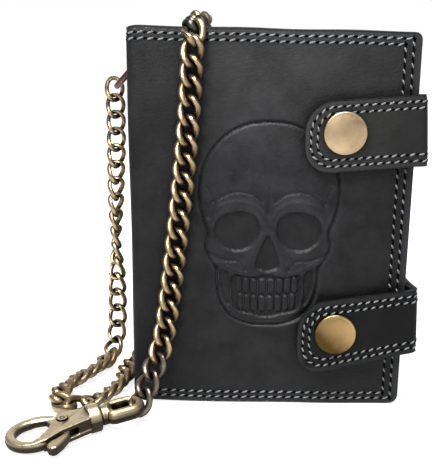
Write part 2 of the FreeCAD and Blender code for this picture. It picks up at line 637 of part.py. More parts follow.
def hook_body():
    up = Vector(0, 0, 1)
    eye = Part.makeTorus(HOOK_EYE_R, HOOK_WIRE / 2, Vector(0, 0, 0), up, 0, 360, EYE_TO - EYE_FROM)
    eye.Placement = Placement(Vector(0, 0, 0), Rotation(up, EYE_FROM))
    eye = eye.cut(Part.makeCylinder(PARTING_R, 2 * HOOK_WIRE, Vector(PIVOT[0], PIVOT[1], -HOOK_WIRE), up, 180))
    body = extruded(
        [(2.0, -9.3), (7.8, -7.4), (HOOK_NECK, -4.6), (HOOK_NECK, 3.8), (10.4, 5.9), (7.0, 1.2), (3.4, -3.6), (2.0, -5.2)],
        -HOOK_T / 2,
        HOOK_T / 2,
    )
    slot = Part.makeBox(HOOK_SLOT_END - 3, 40, HOOK_SLOT, Vector(3, -20, -HOOK_SLOT / 2))
    along = Vector(1, 0, 0)
    collar = Part.makeCylinder(COLLAR_D / 2, COLLAR_L, Vector(HOOK_NECK, 0, 0), along)
    bore = Part.makeCylinder(STEM_D / 2 + STEM_PLAY, COLLAR_L + HEAD_IN, Vector(HOOK_NECK - HEAD_IN, 0, 0), along)
    pocket_l = STEM_HEAD_T + 2 * STEM_PLAY
    pocket = Part.makeCylinder(STEM_HEAD_D / 2 + STEM_PLAY, pocket_l, Vector(HOOK_NECK - HEAD_IN - pocket_l, 0, 0), along)
    pin = Part.makeCylinder(PIN_D / 2, HOOK_T * 2, Vector(PIVOT[0], PIVOT[1], -HOOK_T), up)
    solid = body.fuse(collar).cut(slot)
    return eye.fuse(solid).cut(bore).cut(pocket).cut(pin).removeSplitter()


def gate_pin():
    up = Vector(0, 0, 1)
    pin = Part.makeCylinder(PIN_D / 2, HOOK_T, Vector(PIVOT[0], PIVOT[1], -HOOK_T / 2), up)
    for low in (-HOOK_T / 2 - PIN_HEAD_T, HOOK_T / 2):
        pin = pin.fuse(Part.makeCylinder(PIN_HEAD_D / 2, PIN_HEAD_T, Vector(PIVOT[0], PIVOT[1], low), up))
    return pin.removeSplitter()


def gate():
    """A flat lever through the body: its nose closes the eye and its thumb tab curls round the eye's outside."""
    up = Vector(0, 0, 1)
    inner, outer = HOOK_EYE_R - NOSE_W / 2, HOOK_EYE_R + NOSE_W / 2
    nose = Part.makeCylinder(outer, GATE_T, Vector(0, 0, -GATE_T / 2), up, NOSE_TO - NOSE_FROM)
    nose = nose.cut(Part.makeCylinder(inner, GATE_T, Vector(0, 0, -GATE_T / 2), up))
    nose.Placement = Placement(Vector(0, 0, 0), Rotation(up, NOSE_FROM))
    nose = nose.common(
        Part.makeCylinder(PARTING_R - GATE_TIP_GAP, GATE_T, Vector(PIVOT[0], PIVOT[1], -GATE_T / 2), up, 180)
    )
    arm = extruded([(5.6, 3.1), (8.6, 5.6), (12.4, 2.4), (11.6, -3.2), (8.9, -3.2)], -GATE_T / 2, GATE_T / 2)
    thumb = extruded(
        [
            (8.9, -3.0), (9.2, -5.3), (8.6, -7.2), (6.9, -8.8), (4.8, -10.1), (2.6, -10.9), (2.0, -12.6),
            (3.0, -14.6), (4.6, -15.0), (6.9, -13.6), (9.4, -10.0), (10.9, -7.0), (11.6, -3.0),
        ],
        -GATE_T / 2,
        GATE_T / 2,
    )
    boss = Part.makeCylinder(GATE_BOSS_R, GATE_T, Vector(PIVOT[0], PIVOT[1], -GATE_T / 2), up)
    lever = nose.fuse(arm).fuse(thumb).fuse(boss)
    hole = Part.makeCylinder(PIN_D / 2 + PIN_PLAY, GATE_T, Vector(PIVOT[0], PIVOT[1], -GATE_T / 2), up)
    return lever.cut(hole).removeSplitter()


def gate_spring():
    """A hairpin of flat wire: one leg on the slot's end, the other round the boss to the back of the thumb tab."""
    wall = HOOK_SLOT_END - 0.05
    points = [
        (wall, -4.2), (wall, 3.6), (wall - 0.4, 4.0), (13.9, 3.6), (13.95, 0.5), (13.5, -2.2), (11.4, -4.9),
        (11.6, -5.15), (13.75, -2.4), (13.95 + SPRING_T, 0.5), (13.9 + SPRING_T, 3.5), (wall - SPRING_T, 3.5), (wall - SPRING_T, -4.2),
    ]
    return extruded(points, -GATE_T / 2 + SPRING_T, GATE_T / 2 - SPRING_T)


def bail():
    along = Vector(1, 0, 0)
    up = Vector(0, 0, 1)
    arc_x = BAIL_BAR + BAIL_ARM
    end = Part.makeTorus(BAIL_HALF, BAIL_WIRE / 2, Vector(0, 0, 0), up, 0, 360, 180)
    end.Placement = Placement(Vector(arc_x, 0, 0), Rotation(up, -90))
    loop = end
    for sign in (1, -1):
        side = Part.makeCylinder(BAIL_WIRE / 2, BAIL_ARM, Vector(BAIL_BAR, sign * BAIL_HALF, 0), along)
        knuckle = Part.makeSphere(BAIL_WIRE / 2, Vector(BAIL_BAR, sign * BAIL_HALF, 0))
        loop = loop.fuse(side).fuse(knuckle)
    bar = Part.makeCylinder(BAIL_WIRE / 2, 2 * BAIL_HALF, Vector(BAIL_BAR, -BAIL_HALF, 0), Vector(0, 1, 0))
    boss_from = HOOK_NECK + COLLAR_L + 0.3
    boss = Part.makeCylinder(BAIL_WIRE, BAIL_BAR - boss_from, Vector(boss_from, 0, 0), along)
    head_at = HOOK_NECK - HEAD_IN - STEM_PLAY - STEM_HEAD_T
    stem = Part.makeCylinder(STEM_D / 2, boss_from - head_at, Vector(head_at, 0, 0), along)
    head = Part.makeCylinder(STEM_HEAD_D / 2, STEM_HEAD_T, Vector(head_at, 0, 0), along)
    return loop.fuse(bar).fuse(boss).fuse(stem).fuse(head).removeSplitter()


# ---------------------------------------------------------------- assembly
def wallet():
    snap_holes = [
        (Vector(X_FORE - SNAP_IN, -HALF - 1, s["snap"]), RIVET_D, RIVET_FLANGE_D) for s in STRAPS.values()
    ]
    for side, name, holes in ((-1, "front", snap_holes), (1, "back", [])):
        cover, lining = half_shells(side, holes)
        save(name + "_cover", cover)
        save(name + "_lining", lining)
        save(name + "_note_pocket", note_pocket(side))
    card_slots()
    save("slip_pocket", slip_pocket())
    save("spine_leather", spine_layer(0, COVER_T))
    save("spine_lining", spine_layer(COVER_T, COVER_T + LINING_T))
    frame, films = window_leaf()
    save("window_leaf", frame)
    save("window_films", films)
    for name, sizes in STRAPS.items():
        strap(name, sizes)


def chain_and_hook():
    tab, eyelet, eye = chain_tab()
    save("chain_tab", tab)
    save("tab_eyelet", eyelet)
    save("tab_ring", tab_ring(eye))
    chain()
    place = hook_placement()
    for name, shape in (
        ("hook_body", hook_body()),
        ("gate_pin", gate_pin()),
        ("gate", gate()),
        ("gate_spring", gate_spring()),
        ("swivel_bail", bail()),
    ):
        shape.Placement = place.multiply(shape.Placement)
        save(name, shape)


wallet()
chain_and_hook()
for name, solids, volume in NODES:
    print("%-28s %3d solids %10.1f mm3" % (name, solids, volume))
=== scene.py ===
"""Looks of a closed biker wallet standing on its bottom edge, with its curb chain and trigger hook.

The solid part gives sizes, places and joints. This file draws the leather, the stitching, the chain
and the hardware over it. Lengths are written in millimetres and turned to metres by MM.
X runs from the spine to the fore-edge, -Y is the front cover, +Z is up.
"""

import math
import random

import bmesh
import bpy
import numpy as np
from mathutils import Matrix, Vector


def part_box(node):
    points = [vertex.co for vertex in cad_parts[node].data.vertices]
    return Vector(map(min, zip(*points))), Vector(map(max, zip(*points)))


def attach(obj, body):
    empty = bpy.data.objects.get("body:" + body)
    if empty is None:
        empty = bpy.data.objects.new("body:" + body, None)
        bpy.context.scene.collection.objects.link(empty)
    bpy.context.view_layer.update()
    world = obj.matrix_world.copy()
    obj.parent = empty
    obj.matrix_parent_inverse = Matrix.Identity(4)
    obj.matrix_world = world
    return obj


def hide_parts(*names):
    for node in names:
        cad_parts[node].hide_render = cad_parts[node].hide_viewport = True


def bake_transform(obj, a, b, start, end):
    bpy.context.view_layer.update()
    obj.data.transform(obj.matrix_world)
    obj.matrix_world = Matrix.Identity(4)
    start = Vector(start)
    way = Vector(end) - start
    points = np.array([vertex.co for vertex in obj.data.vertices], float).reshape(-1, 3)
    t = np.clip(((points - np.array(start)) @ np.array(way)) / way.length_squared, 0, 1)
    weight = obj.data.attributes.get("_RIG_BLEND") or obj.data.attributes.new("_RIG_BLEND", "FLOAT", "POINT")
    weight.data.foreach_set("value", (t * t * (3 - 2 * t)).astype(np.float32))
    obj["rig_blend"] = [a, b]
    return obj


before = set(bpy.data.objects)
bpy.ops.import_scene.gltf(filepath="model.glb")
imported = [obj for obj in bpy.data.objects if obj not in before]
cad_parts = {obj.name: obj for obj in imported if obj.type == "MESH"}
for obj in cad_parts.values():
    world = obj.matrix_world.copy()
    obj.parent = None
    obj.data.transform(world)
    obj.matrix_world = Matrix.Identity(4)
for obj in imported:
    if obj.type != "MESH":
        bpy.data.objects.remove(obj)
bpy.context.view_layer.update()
MM = 0.001
rng = random.Random(7)

# ---------------- sizes, as in the solid part
WIDTH, HEIGHT, DEPTH = 101.0, 140.0, 27.0
X_SPINE, X_FORE, HALF = -WIDTH / 2, WIDTH / 2, DEPTH / 2
TOP_CORNER, LOW_CORNER = 2.6, 3.6
COVER_T, LINING_T = 1.6, 0.8
STRAP_T, STRAP_LINING_T = 1.6, 1.2
STRAP_LIFT = 1.8
FRONT_Y = -(HALF + STRAP_LIFT + STRAP_T + STRAP_LINING_T)
BACK_Y = 16.3            # the straps' outer face behind the back cover
FOLD_R = 3.2             # the covers' outer radius where they turn into the spine
TIP_X, SNAP_X = 10.8, 24.7
HIGH_SNAP_Z, LOW_SNAP_Z = 104.6, 30.3


# ---------------- materials
def tint(code, alpha=1.0):
    """An sRGB hex colour as linear red, green, blue and alpha."""
    parts = [int(code[i : i + 2], 16) / 255 for i in (1, 3, 5)]
    return [c / 12.92 if c <= 0.04045 else ((c + 0.055) / 1.055) ** 2.4 for c in parts] + [alpha]


class Maker:
    """A material or a world being wired: node() adds a node and sets or links its inputs."""

    def __init__(self, name, kind="material"):
        self.made = (bpy.data.worlds if kind == "world" else bpy.data.materials).new(name)
        self.made.use_nodes = True
        self.tree = self.made.node_tree

    def node(self, kind, inputs=None, **settings):
        made = self.tree.nodes.new("ShaderNode" + kind)
        for key, value in settings.items():
            setattr(made, key, value)
        self.feed(made, inputs or {})
        return made

    def feed(self, node, inputs):
        for key, value in inputs.items():
            if isinstance(value, bpy.types.NodeSocket):
                self.tree.links.new(value, node.inputs[key])
            else:
                node.inputs[key].default_value = value

    def place(self):
        return self.node("TexCoord").outputs["Object"]

    def noise(self, size_mm, where, detail=3.0, rough=0.55):
        """Noise with features of about that size, in millimetres."""
        inputs = {"Vector": where, "Scale": 1 / (size_mm * MM), "Detail": detail, "Roughness": rough}
        return self.node("TexNoise", inputs).outputs["Fac"]

    def math(self, operation, a, b=0.0, clamp=False):
        return self.node("Math", {0: a, 1: b}, operation=operation, use_clamp=clamp).outputs[0]

    def ramp(self, value, low, high, to_low=0.0, to_high=1.0):
        inputs = {"Value": value, "From Min": low, "From Max": high, "To Min": to_low, "To Max": to_high}
        return self.node("MapRange", inputs).outputs["Result"]

    def mix(self, factor, a, b):
        return self.node("Mix", {0: factor, 6: a, 7: b}, data_type="RGBA").outputs[2]

    def wash(self, shade, code, value, *span):
        """The shade with another colour over it, by as much as the value says, mapped through the span."""
        return self.mix(self.ramp(value, *span) if span else value, shade, tint(code))

    def bump(self, height, depth_mm, strength=1.0, under=None):
        inputs = {"Height": height, "Distance": depth_mm * MM, "Strength": strength}
        if under is not None:
            inputs["Normal"] = under
        return self.node("Bump", inputs).outputs["Normal"]

    def finish(self, **inputs):
        """Sets the surface's inputs, named with _ for a space, and gives the finished material."""
        self.feed(self.tree.nodes["Principled BSDF"], {key.replace("_", " "): inputs[key] for key in inputs})
        return self.made


# leather: burnished where pressed by a tool, painted shade below and at the sides, painted shadow in corners,
# and a painted highlight on bevels and rubbed edges
BURNISHED, PAINTED_SHADE, PAINTED_SHADOW, RUB_AND_HIGHLIGHT = "#101011", "#0c0c0d", "#050505", "#4a4b4e"
PORE = 1.5 * MM          # coarser than real grain, which would be finer than a render can show


def leather(name, dark, light, rough, grain=1.0, scuff_and_lit_top=None, sheen=0.2):
    """Waxed full-grain cowhide: a fine pebble, soft cloudy shade and a dull waxy sheen."""
    m = Maker(name)
    where = m.place()
    cloud = m.noise(11.0, where, 6.0, 0.68)
    fine = m.noise(1.1, where, 3.0, 0.65)
    shade = m.mix(m.ramp(cloud, 0.36, 0.64), tint(dark), tint(light))
    shade = m.wash(shade, light, fine, 0.5, 0.85, 0.0, 0.5)
    pressed = m.node("Attribute", attribute_name="pressed").outputs["Fac"]
    if scuff_and_lit_top:
        shade = m.wash(shade, scuff_and_lit_top, m.noise(5.0, where, 6.0, 0.7), 0.62, 0.78, 0.0, 0.5)
    cells = m.node("TexVoronoi", {"Vector": where, "Scale": 1 / PORE}, feature="DISTANCE_TO_EDGE")
    normal = m.bump(m.ramp(cells.outputs["Distance"], 0.0, 0.25), 0.05 * grain)
    normal = m.bump(fine, 0.12 * grain, 1.0, normal)
    normal = m.bump(cloud, 0.7, 0.5, normal)
    # tooling burnishes the leather darker where it is pressed
    shade = m.wash(shade, BURNISHED, m.math("MULTIPLY", pressed, 0.45))
    polish = m.ramp(fine, 0.3, 0.8, rough - 0.08, rough + 0.1)
    # painted light and shade: darker towards the bottom and the sides, lighter at the top
    split = m.node("SeparateXYZ", {"Vector": where})
    height, across = split.outputs["Z"], m.math("ABSOLUTE", split.outputs["X"])
    shade = m.wash(shade, PAINTED_SHADE, height, 0.02, 0.075, 0.5, 0.0)
    shade = m.wash(shade, scuff_and_lit_top or light, height, 0.085, 0.125, 0.0, 0.26)
    shade = m.wash(shade, PAINTED_SHADE, across, 0.01, 0.046, 0.0, 0.58)
    # painted shadow: dark in the corners and beside whatever lies on the leather
    corner = m.node("AmbientOcclusion", {"Distance": 5.0 * MM}, samples=6).outputs["AO"]
    shade = m.wash(shade, PAINTED_SHADOW, corner, 0.5, 0.95, 0.85, 0.0)
    # painted highlight on the bevels round the tooling and on the corners of the edges, which are also rubbed
    rubbed = m.node("Attribute", attribute_name="rubbed").outputs["Fac"]
    shade = m.wash(shade, RUB_AND_HIGHLIGHT, m.math("MULTIPLY", rubbed, 0.2))
    return m.finish(
        Base_Color=shade,
        Roughness=m.math("SUBTRACT", polish, m.math("MULTIPLY", rubbed, 0.14)),
        Normal=normal,
        Specular_IOR_Level=sheen,
    )


def metal(name, dark, light, rough, grain_mm=1.4, wear=0.5, bump=0.05, sweep=None):
    """Plated metal gone dull. sweep holds the middle x, z and the reach, in millimetres, of a painted
    reflection: a slow change from dark at the lower left to bright at the upper right."""
    m = Maker(name)
    where = m.place()
    cloud = m.noise(grain_mm * 3, where, 4.0, 0.6)
    fine = m.noise(grain_mm, where, 3.0, 0.6)
    bright = m.ramp(cloud, 0.5 - wear / 4, 0.5 + wear / 4)
    if sweep:
        x, z, reach = (value * MM for value in sweep)
        split = m.node("SeparateXYZ", {"Vector": where})
        across = m.ramp(split.outputs["X"], x - reach, x + reach, -0.35, 0.5)
        down = m.ramp(split.outputs["Z"], z - reach, z + reach, -0.25, 0.75)
        bright = m.math("ADD", m.math("ADD", across, down), m.math("MULTIPLY", bright, 0.2), clamp=True)
    shade = m.mix(bright, tint(dark), tint(light))
    normal = m.bump(fine, bump)
    gloss = m.ramp(fine, 0.3, 0.75, rough - 0.06, rough + 0.1)
    return m.finish(Base_Color=shade, Metallic=1.0, Roughness=gloss, Normal=normal)


def antique(name, recess, face, rough, reach, rubbed, depth=0.45):
    """Antiqued brass: black patina left in the hollows, the high places bare. reach is how far a hollow looks
    for walls, in millimetres, and depth how shut in a black one is. The last argument holds painted shade:
    the way that the brightest faces look, the turns from it at which a face is painted black and bright, and
    the least brightness kept."""
    m = Maker(name)
    where = m.place()
    hollow = m.node("AmbientOcclusion", {"Distance": reach * MM}, samples=8, only_local=True).outputs["AO"]
    cloud = m.noise(3.0, where, 4.0, 0.6)
    keep = m.math("ADD", m.ramp(hollow, depth, 0.96), m.ramp(cloud, 0.3, 0.7, -0.18, 0.14), clamp=True)
    # painted shade: faces turned away from the given way are painted darker, down to the least kept
    way, black, bright, least = rubbed
    turned_to = {0: m.node("TexCoord").outputs["Normal"], 1: Vector(way).normalized()}
    facing = m.node("VectorMath", turned_to, operation="DOT_PRODUCT").outputs["Value"]
    keep = m.math("MULTIPLY", keep, m.ramp(facing, black, bright, least, 1.0))
    shade = m.mix(keep, tint(recess), tint(face))
    normal = m.bump(m.noise(0.9, where, 2.0), 0.05)
    gloss = m.ramp(keep, 0.0, 1.0, rough + 0.2, rough)
    return m.finish(Base_Color=shade, Metallic=1.0, Roughness=gloss, Normal=normal)


OUTER = leather("black_waxed_cowhide", "#0e0e10", "#272729", 0.5, scuff_and_lit_top="#404040", sheen=0.18)
STRAP = leather("strap_cowhide", "#151515", "#282827", 0.48, scuff_and_lit_top="#3a3936")
# painted shade: the lower strap is a darker copy of the strap's cowhide, with less sheen
LOW_STRAP = leather("dark_strap_cowhide", "#090909", "#151515", 0.48, scuff_and_lit_top="#1f1e1d", sheen=0.12)
EDGE = leather("burnished_edge", "#2c2d2b", "#464643", 0.42, grain=0.5)
# painted shade: the straps' edges are darker than the covers', for the shadow round each strap
STRAP_EDGE = leather("dark_strap_edge", "#0b0b0b", "#191918", 0.5, grain=0.5)
LINING = leather("black_lining_skin", "#1c1c1d", "#262627", 0.6, grain=0.7)
POCKET = leather("pocket_skin", "#202021", "#2c2c2d", 0.58, grain=0.8)
CAP = metal("satin_pale_brass", "#a99170", "#c3ab89", 0.38, 2.0, 0.8, 0.015)
# painted reflection: the lower cap is a darker copy of the upper cap's brass, with a slow painted change
# across it
CAP_SWEEP = (SNAP_X, LOW_SNAP_Z, 7.0)
LOW_CAP = metal("satin_brass_painted_reflection", "#4f3b1f", "#b99a6a", 0.34, 2.0, 0.8, 0.015, CAP_SWEEP)
STEEL = metal("nickel_steel", "#8a8780", "#a5a29a", 0.3)
# painted shade for the chain, the hook and the bail: the way that their bright faces look, and the turns at
# which a face is painted black and bright
CHAIN_LIT_SIDE = ((-0.6, -0.35, 0.72), -0.45, 0.3, 0.12)
HOOK_SIDE = ((-0.1, -0.1, 1), 0.12, 0.74, 0.05)
BAIL_SIDE = ((-0.1, -0.4, 0.9), 0.35, 0.86, 0.04)
CHAIN = antique("antiqued_brass_chain", "#120f0c", "#b8a27e", 0.33, 2.6, CHAIN_LIT_SIDE)
GREY_CHAIN = antique("antiqued_grey_links", "#141312", "#7d7268", 0.36, 2.6, CHAIN_LIT_SIDE)
# painted reflection: a gunmetal grey for the links that cross the top
DARK_CHAIN = antique("gunmetal_reflection_link", "#101110", "#565750", 0.36, 2.6, CHAIN_LIT_SIDE)
RING = metal("dark_bronze", "#47342a", "#7b6150", 0.35)
HOOK = antique("antiqued_cast_hook", "#120f0c", "#dbc9a7", 0.38, 2.8, HOOK_SIDE)
# painted shade: the bail's long reach and deep black darken the hollow between its arms beyond the patina
BAIL = antique("antiqued_cast_bail", "#0f0d0b", "#c9b590", 0.38, 7.0, BAIL_SIDE, 0.74)


def thread():
    """Waxed grey polyester thread: pale, slightly glossy."""
    m = Maker("waxed_grey_thread")
    strand = m.noise(0.8, m.place(), 2.0)
    shade = m.mix(m.ramp(strand, 0.3, 0.7), tint("#585a5c"), tint("#828486"))
    return m.finish(Base_Color=shade, Roughness=0.6)


def hole_black():
    """The shadow down a needle hole."""
    m = Maker("needle_hole_shadow")
    return m.finish(Base_Color=tint("#090909"), Roughness=1.0, Specular_IOR_Level=0.0)


def film():
    """Clear PVC window film, a little grey at a slant."""
    m = Maker("clear_window_film")
    return m.finish(Base_Color=tint("#d8dadb"), Roughness=0.12, Alpha=0.28, Specular_IOR_Level=0.5)


THREAD, HOLE, FILM = thread(), hole_black(), film()


# ---------------- making pieces
def face_out(bm):
    """Turns every face outward."""
    bmesh.ops.recalc_face_normals(bm, faces=bm.faces)
    return bm


def piece(bm, name, *materials, angle=38.0):
    """A finished object from a bmesh in millimetres, sharp only where faces meet steeply."""
    face_out(bm)
    mesh = bpy.data.meshes.new(name)
    bm.to_mesh(mesh)
    bm.free()
    mesh.transform(Matrix.Scale(MM, 4))
    for material in materials:
        mesh.materials.append(material)
    mesh.polygons.foreach_set("use_smooth", [True] * len(mesh.polygons))
    mesh.set_sharp_from_angle(angle=math.radians(angle))
    made = bpy.data.objects.new(name, mesh)
    bpy.context.scene.collection.objects.link(made)
    return made


def fit(made, body, *nodes):
    """Hangs a finished piece on its body, in place of those nodes of the solid part."""
    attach(made, body)
    if nodes:
        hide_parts(*nodes)


def as_mesh(bm):
    mesh = bpy.data.meshes.new("pattern")
    bm.to_mesh(mesh)
    bm.free()
    return mesh


def copies(pattern, places, slots=None):
    """One bmesh holding the pattern at each place, a 4 x 4 matrix, in the material slot given for it."""
    bm = bmesh.new()
    for k, place in enumerate(places):
        one = pattern.copy()
        one.transform(place)
        if slots:
            one.polygons.foreach_set("material_index", [slots[k]] * len(one.polygons))
        bm.from_mesh(one)
        bpy.data.meshes.remove(one)
    bpy.data.meshes.remove(pattern)
    return bm


def frame_at(origin, x, z):
    """A matrix at origin with the given X direction and, as nearly as can be, the given Z."""
    x = Vector(x).normalized()
    y = Vector(z).cross(x).normalized()
    z = x.cross(y)
    turn = Matrix((x, y, z)).transposed().to_4x4()
    return Matrix.Translation(Vector(origin)) @ turn


def raise_faces(bm, thickness):
    """Makes a flat sheet of faces solid, upward."""
    grown = bmesh.ops.extrude_face_region(bm, geom=list(bm.faces))
    raised = [g for g in grown["geom"] if isinstance(g, bmesh.types.BMVert)]
    bmesh.ops.translate(bm, vec=Vector((0, 0, thickness)), verts=raised)
    face_out(bm)


def round_off(bm, edges, offset, segments=2, slot=-1):
    bmesh.ops.bevel(
        bm, geom=edges, offset=offset, segments=segments, profile=0.5,
        affect="EDGES", material=slot, clamp_overlap=True,
    )


def circle_bm(count, radius=1.0, filled=False):
    """A ring of that many points in the XY plane."""
    bm = bmesh.new()
    bmesh.ops.create_circle(bm, cap_ends=filled, segments=count, radius=radius)
    bm.verts.ensure_lookup_table()
    return bm


def outline_bm(points, thickness, bevel=0.0, segments=2, z=0.0):
    """A plate with that outline in X and Y, its middle at z and its rim rounded by the bevel."""
    bm = circle_bm(len(points), filled=True)
    for vertex, (x, y) in zip(bm.verts, points):
        vertex.co = Vector((x, y, -thickness / 2))
    raise_faces(bm, thickness)
    if bevel:
        round_off(bm, [e for e in bm.edges if abs(e.verts[0].co.z - e.verts[1].co.z) < 1e-6], bevel, segments)
    return shifted(bm, 0, 0, z)


def block_bm(low, high):
    """A box between two corners."""
    bm = bmesh.new()
    size = Matrix.Diagonal((*(high - low), 1))
    bmesh.ops.create_cube(bm, size=1.0, matrix=Matrix.Translation((low + high) / 2) @ size)
    return bm


def spun(bm, degrees, steps):
    """The bmesh's profile turned about Z, joined up after a full turn."""
    full = abs(degrees - 360) < 1e-6
    angle = math.tau if full else math.radians(degrees)
    bmesh.ops.spin(
        bm, geom=bm.verts[:] + bm.edges[:], cent=(0, 0, 0), axis=(0, 0, 1), angle=angle,
        steps=steps, use_merge=full, use_duplicate=False,
    )
    bmesh.ops.remove_doubles(bm, verts=bm.verts, dist=1e-5)
    return full


def turned(profile, steps=48, close=True):
    """A body of revolution about Z from (radius, height) points, first and last on the axis if close."""
    bm = circle_bm(len(profile))
    for vertex, (radius, height) in zip(bm.verts, profile):
        vertex.co = Vector((radius, 0, height))
    if close:
        both = [e for e in bm.edges if all(v.co.x < 1e-9 for v in e.verts)]
        bmesh.ops.delete(bm, geom=both, context="EDGES")
    spun(bm, 360, steps)
    return face_out(bm)


def wire_arc(radius, wire, start, end, steps, sides):
    """A round wire bent about Z from one angle to another, in degrees."""
    bm = circle_bm(sides, wire / 2)
    bmesh.ops.rotate(bm, verts=bm.verts, cent=(0, 0, 0), matrix=Matrix.Rotation(math.pi / 2, 3, "X"))
    bmesh.ops.translate(bm, verts=bm.verts, vec=Vector((radius, 0, 0)))
    bmesh.ops.rotate(bm, verts=bm.verts, cent=(0, 0, 0), matrix=Matrix.Rotation(math.radians(start), 3, "Z"))
    if not spun(bm, end - start, steps):
        bmesh.ops.holes_fill(bm, edges=[e for e in bm.edges if e.is_boundary], sides=sides + 1)
    return face_out(bm)


def merged(*parts):
    """Several bmeshes as one."""
    bm = bmesh.new()
    for part in parts:
        mesh = as_mesh(part)
        bm.from_mesh(mesh)
        bpy.data.meshes.remove(mesh)
    return bm


def moved(bm, matrix):
    bmesh.ops.transform(bm, matrix=matrix, verts=bm.verts)
    return bm


def shifted(bm, x, y, z):
    return moved(bm, Matrix.Translation((x, y, z)))


def cast(bm, name, material, cell=0.22, rounds=1):
    """One casting from overlapping solids, their meetings filled and rounded; cell is the finest detail."""
    made = piece(bm, name, material)
    grown = made.modifiers.new("cast", "REMESH")
    grown.mode, grown.voxel_size, grown.use_smooth_shade = "VOXEL", cell * MM, True
    eased = made.modifiers.new("ease", "SMOOTH")
    eased.factor, eased.iterations = 0.5, rounds
    solid = bpy.data.meshes.new_from_object(made.evaluated_get(bpy.context.evaluated_depsgraph_get()))
    made.modifiers.clear()
    made.data = solid
    return made


# ---------------- sheets wrapped round a path
class Path:
    """A line seen from above, of straight runs and arcs; side is 1 if its outside is on the right hand."""

    def __init__(self, start, heading, side, *runs):
        self.marks, self.side = [], side
        place, angle, at = Vector(start), math.radians(heading), 0.0
        for length, turn in runs:
            self.marks.append((at, place.copy(), angle, length, math.radians(turn)))
            place, angle = self.step(place, angle, length, math.radians(turn))
            at += length
        self.length = at

    @staticmethod
    def step(place, angle, run, turn):
        if abs(turn) < 1e-9:
            return place + run * Vector((math.cos(angle), math.sin(angle))), angle
        radius = run / turn
        centre = place + radius * Vector((-math.sin(angle), math.cos(angle)))
        angle += turn
        return centre - radius * Vector((-math.sin(angle), math.cos(angle))), angle

    def at(self, distance):
        """Place and outward direction at that distance along."""
        for start, place, angle, length, turn in reversed(self.marks):
            if distance >= start or start == 0.0:
                run = distance - start
                where, heading = self.step(place, angle, run, turn * run / length)
                return where, self.side * Vector((math.sin(heading), -math.cos(heading)))

    def wrap(self, u, v, w):
        """The point u along, v up and w out of the line."""
        where, out = self.at(u)
        return Vector((where.x + out.x * w, where.y + out.y * w, v))

    def stand(self, u, v, w, angle):
        """A frame on the wrapped sheet: Z out of it, X turned by angle from the way along."""
        _, out = self.at(u)
        along = self.side * Vector((-out.y, out.x, 0))
        x = along * math.cos(angle) + Vector((0, 0, 1)) * math.sin(angle)
        return frame_at(self.wrap(u, v, w), x, Vector((out.x, out.y, 0)))


def spread(low, high, cell, dense=None, fine=None):
    """Grid lines from low to high, closer together between the two dense values."""
    stops = [low, high] if dense is None else [low, dense[0], dense[1], high]
    cells = [cell] if dense is None else [cell, fine, cell]
    lines = [low]
    for a, b, size in zip(stops, stops[1:], cells):
        count = max(1, math.ceil((b - a) / size))
        lines += [a + (b - a) * (i + 1) / count for i in range(count)]
    return lines


def grid(u0, u1, v0, v1, cell):
    return spread(u0, u1, cell), spread(v0, v1, cell)


def sheet(us, vs, top, bottom, bevel, place, round_ends=(), holes=(), windows=(), shape=None, rim_slot=1):
    """A bevelled sheet: us and vs are grid lines, top and bottom its depths. round_ends holds corners as
    (u, v, radius, sign of u, sign of v), holes (u, v, radius) and windows (u, u, v, v); shape moves flat
    points; place puts flat points in the world."""
    bm = bmesh.new()
    nu, nv = len(us) - 1, len(vs) - 1
    bmesh.ops.create_grid(bm, x_segments=nu, y_segments=nv, size=1.0)
    for vertex in bm.verts:
        i = round((vertex.co.x + 1) / 2 * nu)
        j = round((vertex.co.y + 1) / 2 * nv)
        vertex.co = Vector((us[i], vs[j], bottom))
    for corner_u, corner_v, radius, side_u, side_v in round_ends:
        for vertex in bm.verts:
            a = (vertex.co.x - corner_u) * side_u / radius + 1
            b = (vertex.co.y - corner_v) * side_v / radius + 1
            if 0 < a <= 1.0001 and 0 < b <= 1.0001:
                vertex.co.x = corner_u + side_u * radius * (a * math.sqrt(max(0.0, 1 - b * b / 2)) - 1)
                vertex.co.y = corner_v + side_v * radius * (b * math.sqrt(max(0.0, 1 - a * a / 2)) - 1)
    for u, v, radius in holes:
        middle = Vector((u, v, bottom))
        gone = [f for f in bm.faces if (f.calc_center_median() - middle).length < radius]
        rim = {v for f in gone for v in f.verts if any(g not in gone for g in v.link_faces)}
        bmesh.ops.delete(bm, geom=gone, context="FACES")
        for vertex in rim:
            vertex.co = middle + (vertex.co - middle).normalized() * radius
            vertex.co.y = min(vertex.co.y, vs[-1])
    for u0, u1, v0, v1 in windows:
        centres = [(f, f.calc_center_median()) for f in bm.faces]
        gone = [f for f, c in centres if u0 < c.x < u1 and v0 < c.y < v1]
        bmesh.ops.delete(bm, geom=gone, context="FACES")
    if shape:
        for vertex in bm.verts:
            vertex.co.x, vertex.co.y = shape(vertex.co.x, vertex.co.y)
    raise_faces(bm, top - bottom)
    for face in bm.faces:
        face.material_index = 0 if abs(face.normal.z) > 0.9 else rim_slot
    rim = [
        e for e in bm.edges
        if len(e.link_faces) == 2
        and e.link_faces[0].material_index != e.link_faces[1].material_index
    ]
    round_off(bm, rim, bevel, 3, rim_slot)
    light_mark = bm.verts.layers.float.new("rubbed")
    # the corner between a face and its edge is rubbed and gets a painted highlight, less and less inward
    near = {vertex for vertex in bm.verts if len({face.material_index for face in vertex.link_faces}) > 1}
    for amount in (1.6, 0.9, 0.35):
        for vertex in near:
            vertex[light_mark] = max(vertex[light_mark], amount)
        near = {edge.other_vert(vertex) for vertex in near for edge in vertex.link_edges}
    for vertex in bm.verts:
        vertex.co = place(*vertex.co)
    return bm


